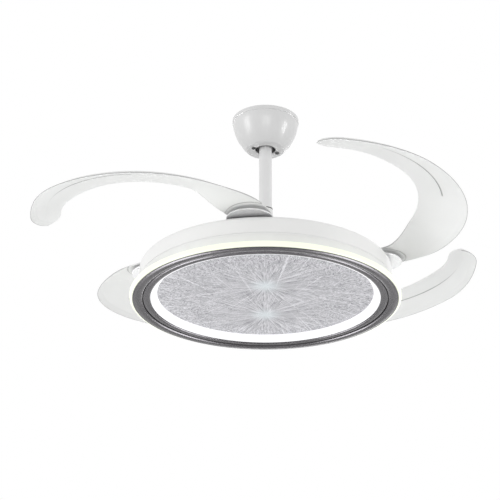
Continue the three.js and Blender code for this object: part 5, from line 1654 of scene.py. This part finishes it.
class FAN_OT_stage(FanOperator, bpy.types.Operator):
    """Set up the camera, the lamps, the floor and the white surroundings."""

    bl_idname = "fan.stage"
    bl_label = "Studio"

    PICTURE_PIXELS = 500  # width and height of the picture that Ring X and Ring Y refer to
    SENSOR_WIDTH = 36  # millimetres
    CLIP = (0.01, 200)  # nearest and farthest distance the camera sees
    FLOOR_REACH = 60  # half the floor's side
    SOFT_EDGE = (0.7, 1.3)  # where a softbox starts and ends to fade, over its half size
    LAMPS_AIM = 0.1  # height over the lamp's foot that the lamps face
    LAMPS = (  # name, place, width and height, power in watts
        ("key", (-2.8, -1.1, -0.3), (1.2, 1.6), 25),
        ("fill", (2.8, -0.7, -0.6), (0.8, 1.2), 21),
        ("front", (0.2, -3.1, -0.6), (1.6, 1.2), 14),
        ("back", (0.6, 2.6, -0.2), (1.6, 1.0), 9),
        ("under", (-1.1, -0.3, -2.5), (2.0, 2.0), 19),
    )

    def camera(self, stage):
        """Looks along +Y and up at the ring's centre, which the shift puts on its pixel."""
        data = bpy.data.cameras.new("camera")
        camera = linked("camera", data)
        rise = stage.elevation
        camera.location = (0, -stage.distance * cos(rise), LAMP_FOOT - stage.distance * sin(rise))
        camera.rotation_euler = (pi / 2 + rise, 0, 0)
        data.lens = stage.lens
        data.sensor_width = self.SENSOR_WIDTH
        data.shift_x = (self.PICTURE_PIXELS / 2 - stage.ring_pixel_x) / self.PICTURE_PIXELS
        data.shift_y = (stage.ring_pixel_y - self.PICTURE_PIXELS / 2) / self.PICTURE_PIXELS
        data.clip_start, data.clip_end = self.CLIP
        bpy.context.scene.camera = camera

    def lamp(self, name, place, size, power):
        """A rectangular lamp that faces the fan. The one that only lifts the undersides is in no
        reflection."""
        data = bpy.data.lights.new(name, "AREA")
        data.shape = "RECTANGLE"
        data.size, data.size_y = size
        data.energy = power
        lamp = linked(name, data)
        lamp.location = place
        ahead = Vector((0, 0, LAMP_FOOT + self.LAMPS_AIM)) - Vector(place)
        lamp.rotation_euler = ahead.to_track_quat("-Z", "Y").to_euler()
        lamp.visible_camera = False
        lamp.visible_glossy = name != "under"

    def softboxes(self, tree, stage):
        """How much of the two long softboxes lies in a direction: they are a mirror pair below
        and behind the fan, so the direction's X is taken without its sign."""
        direction = node(tree, "TexCoord").outputs["Generated"]
        parts = node(tree, "SeparateXYZ", {0: direction}).outputs
        folded = node(tree, "CombineXYZ", {"X": arithmetic(tree, "ABSOLUTE", parts["X"]),
                                           "Y": parts["Y"], "Z": parts["Z"]}).outputs[0]
        centre = Vector(stage.box_centre).normalized()
        along = Vector(stage.box_along)
        along = (along - centre * along.dot(centre)).normalized()
        fade_start, fade_end = self.SOFT_EDGE
        amount = 1.0
        for axis, half in ((centre.cross(along), stage.box_width), (along, stage.box_length)):
            off = node(tree, "VectorMath", {0: folded, 1: axis}, operation="DOT_PRODUCT")
            off = arithmetic(tree, "ABSOLUTE", off.outputs["Value"])
            edge = remap(tree, off, source=(fade_start * half, fade_end * half),
                         target=(1.0, 0.0), interpolation_type="SMOOTHSTEP")
            amount = arithmetic(tree, "MULTIPLY", edge, amount)
        ahead = node(tree, "VectorMath", {0: folded, 1: centre}, operation="DOT_PRODUCT")
        ahead = arithmetic(tree, "GREATER_THAN", ahead.outputs["Value"])
        return arithmetic(tree, "MULTIPLY", amount, ahead)

    def surroundings(self, stage):
        """White for the camera, reflections and what is seen through the blades, with two
        softboxes in the reflections alone; a plain light level for dull surfaces."""
        world = bpy.data.worlds.new("studio")
        world.use_nodes = True
        tree = world.node_tree
        tree.nodes.clear()
        ray = node(tree, "LightPath").outputs
        seen = arithmetic(tree, "MAXIMUM", ray["Is Camera Ray"], ray["Is Glossy Ray"])
        seen = arithmetic(tree, "MAXIMUM", seen, ray["Is Transmission Ray"])
        boxes = arithmetic(tree, "MULTIPLY", self.softboxes(tree, stage), ray["Is Glossy Ray"])
        boxes = arithmetic(tree, "MULTIPLY", boxes, stage.box_light)
        strength = arithmetic(tree, "ADD", boxes, 1.0)
        plain, bright = [
            node(tree, "Background", {"Color": (1, 1, 1, 1), "Strength": level}).outputs[0]
            for level in (stage.ambient, strength)]
        mixed = node(tree, "MixShader", {0: seen, 1: plain, 2: bright}).outputs[0]
        node(tree, "OutputWorld", {"Surface": mixed})
        bpy.context.scene.world = world

    def floor(self, stage):
        """A wide pale floor with a very slight cloud in its tone. Reflections show the white
        surroundings in its place."""
        side = np.linspace(-self.FLOOR_REACH, self.FLOOR_REACH, 9)
        x, y = np.meshgrid(side, side, indexing="ij")
        grid = np.stack([x, y, np.full_like(x, stage.floor_height)], axis=-1)
        floor = surface("floor", grid, close_columns=False)
        finish, tree, shader = new_finish("floor", Roughness=0.9)
        cloud = noise(tree, own_place(tree), scale=1.5)
        tone = ramp(tree, cloud, [(0.3, (0.86, 0.86, 0.86)), (0.7, (0.88, 0.88, 0.88))])
        feed(tree, tone, shader, "Base Color")
        floor.data.materials.append(finish)
        floor.visible_glossy = False

    def execute(self, context):
        stage = context.scene.fan_stage
        self.camera(stage)
        self.surroundings(stage)
        self.floor(stage)
        for lamp in self.LAMPS:
            self.lamp(*lamp)
        context.scene.view_settings.view_transform = "Standard"
        return {"FINISHED"}


# ---- the panel, and running it all ----

PROPERTY_GROUPS = {
    "fan_finishes": FAN_PG_finishes,
    "fan_canopy": FAN_PG_canopy,
    "fan_hanger": FAN_PG_hanger,
    "fan_rotor": FAN_PG_rotor,
    "fan_pivot": FAN_PG_pivot,
    "fan_blade": FAN_PG_blade,
    "fan_lamp": FAN_PG_lamp,
    "fan_crystal": FAN_PG_crystal,
    "fan_stage": FAN_PG_stage,
}
OPERATORS = (
    FAN_OT_finishes,
    FAN_OT_canopy,
    FAN_OT_hanging_rod,
    FAN_OT_motor_covers,
    FAN_OT_blade_carrier,
    FAN_OT_pivots,
    FAN_OT_blades,
    FAN_OT_lamp_housing,
    FAN_OT_light_rings,
    FAN_OT_crystal_plate,
    FAN_OT_stage,
)


class FAN_PT_panel(bpy.types.Panel):
    """Lists the fan's pieces and their sizes."""

    bl_idname = "FAN_PT_panel"
    bl_label = "Ceiling fan"
    bl_space_type = "VIEW_3D"
    bl_region_type = "UI"
    bl_category = "Ceiling fan"

    def draw(self, context):
        for operator in OPERATORS:
            self.layout.operator(operator.bl_idname)
        for name, group in PROPERTY_GROUPS.items():
            box = self.layout.box()
            box.label(text=group.__doc__)
            for item in group.__annotations__:
                box.prop(getattr(context.scene, name), item)


def register():
    for group in PROPERTY_GROUPS.values():
        bpy.utils.register_class(group)
    for name, group in PROPERTY_GROUPS.items():
        setattr(bpy.types.Scene, name, PointerProperty(type=group))
    for kind in (*OPERATORS, FAN_PT_panel):
        bpy.utils.register_class(kind)


def unregister():
    for kind in (FAN_PT_panel, *reversed(OPERATORS)):
        bpy.utils.unregister_class(kind)
    for name in PROPERTY_GROUPS:
        delattr(bpy.types.Scene, name)
    for group in reversed(PROPERTY_GROUPS.values()):
        bpy.utils.unregister_class(group)


def main():
    """Registers the fan's classes and builds every piece in order."""
    register()
    for operator in OPERATORS:
        getattr(bpy.ops.fan, operator.bl_idname.split(".")[1])()


if __name__ == "__main__":
    main()
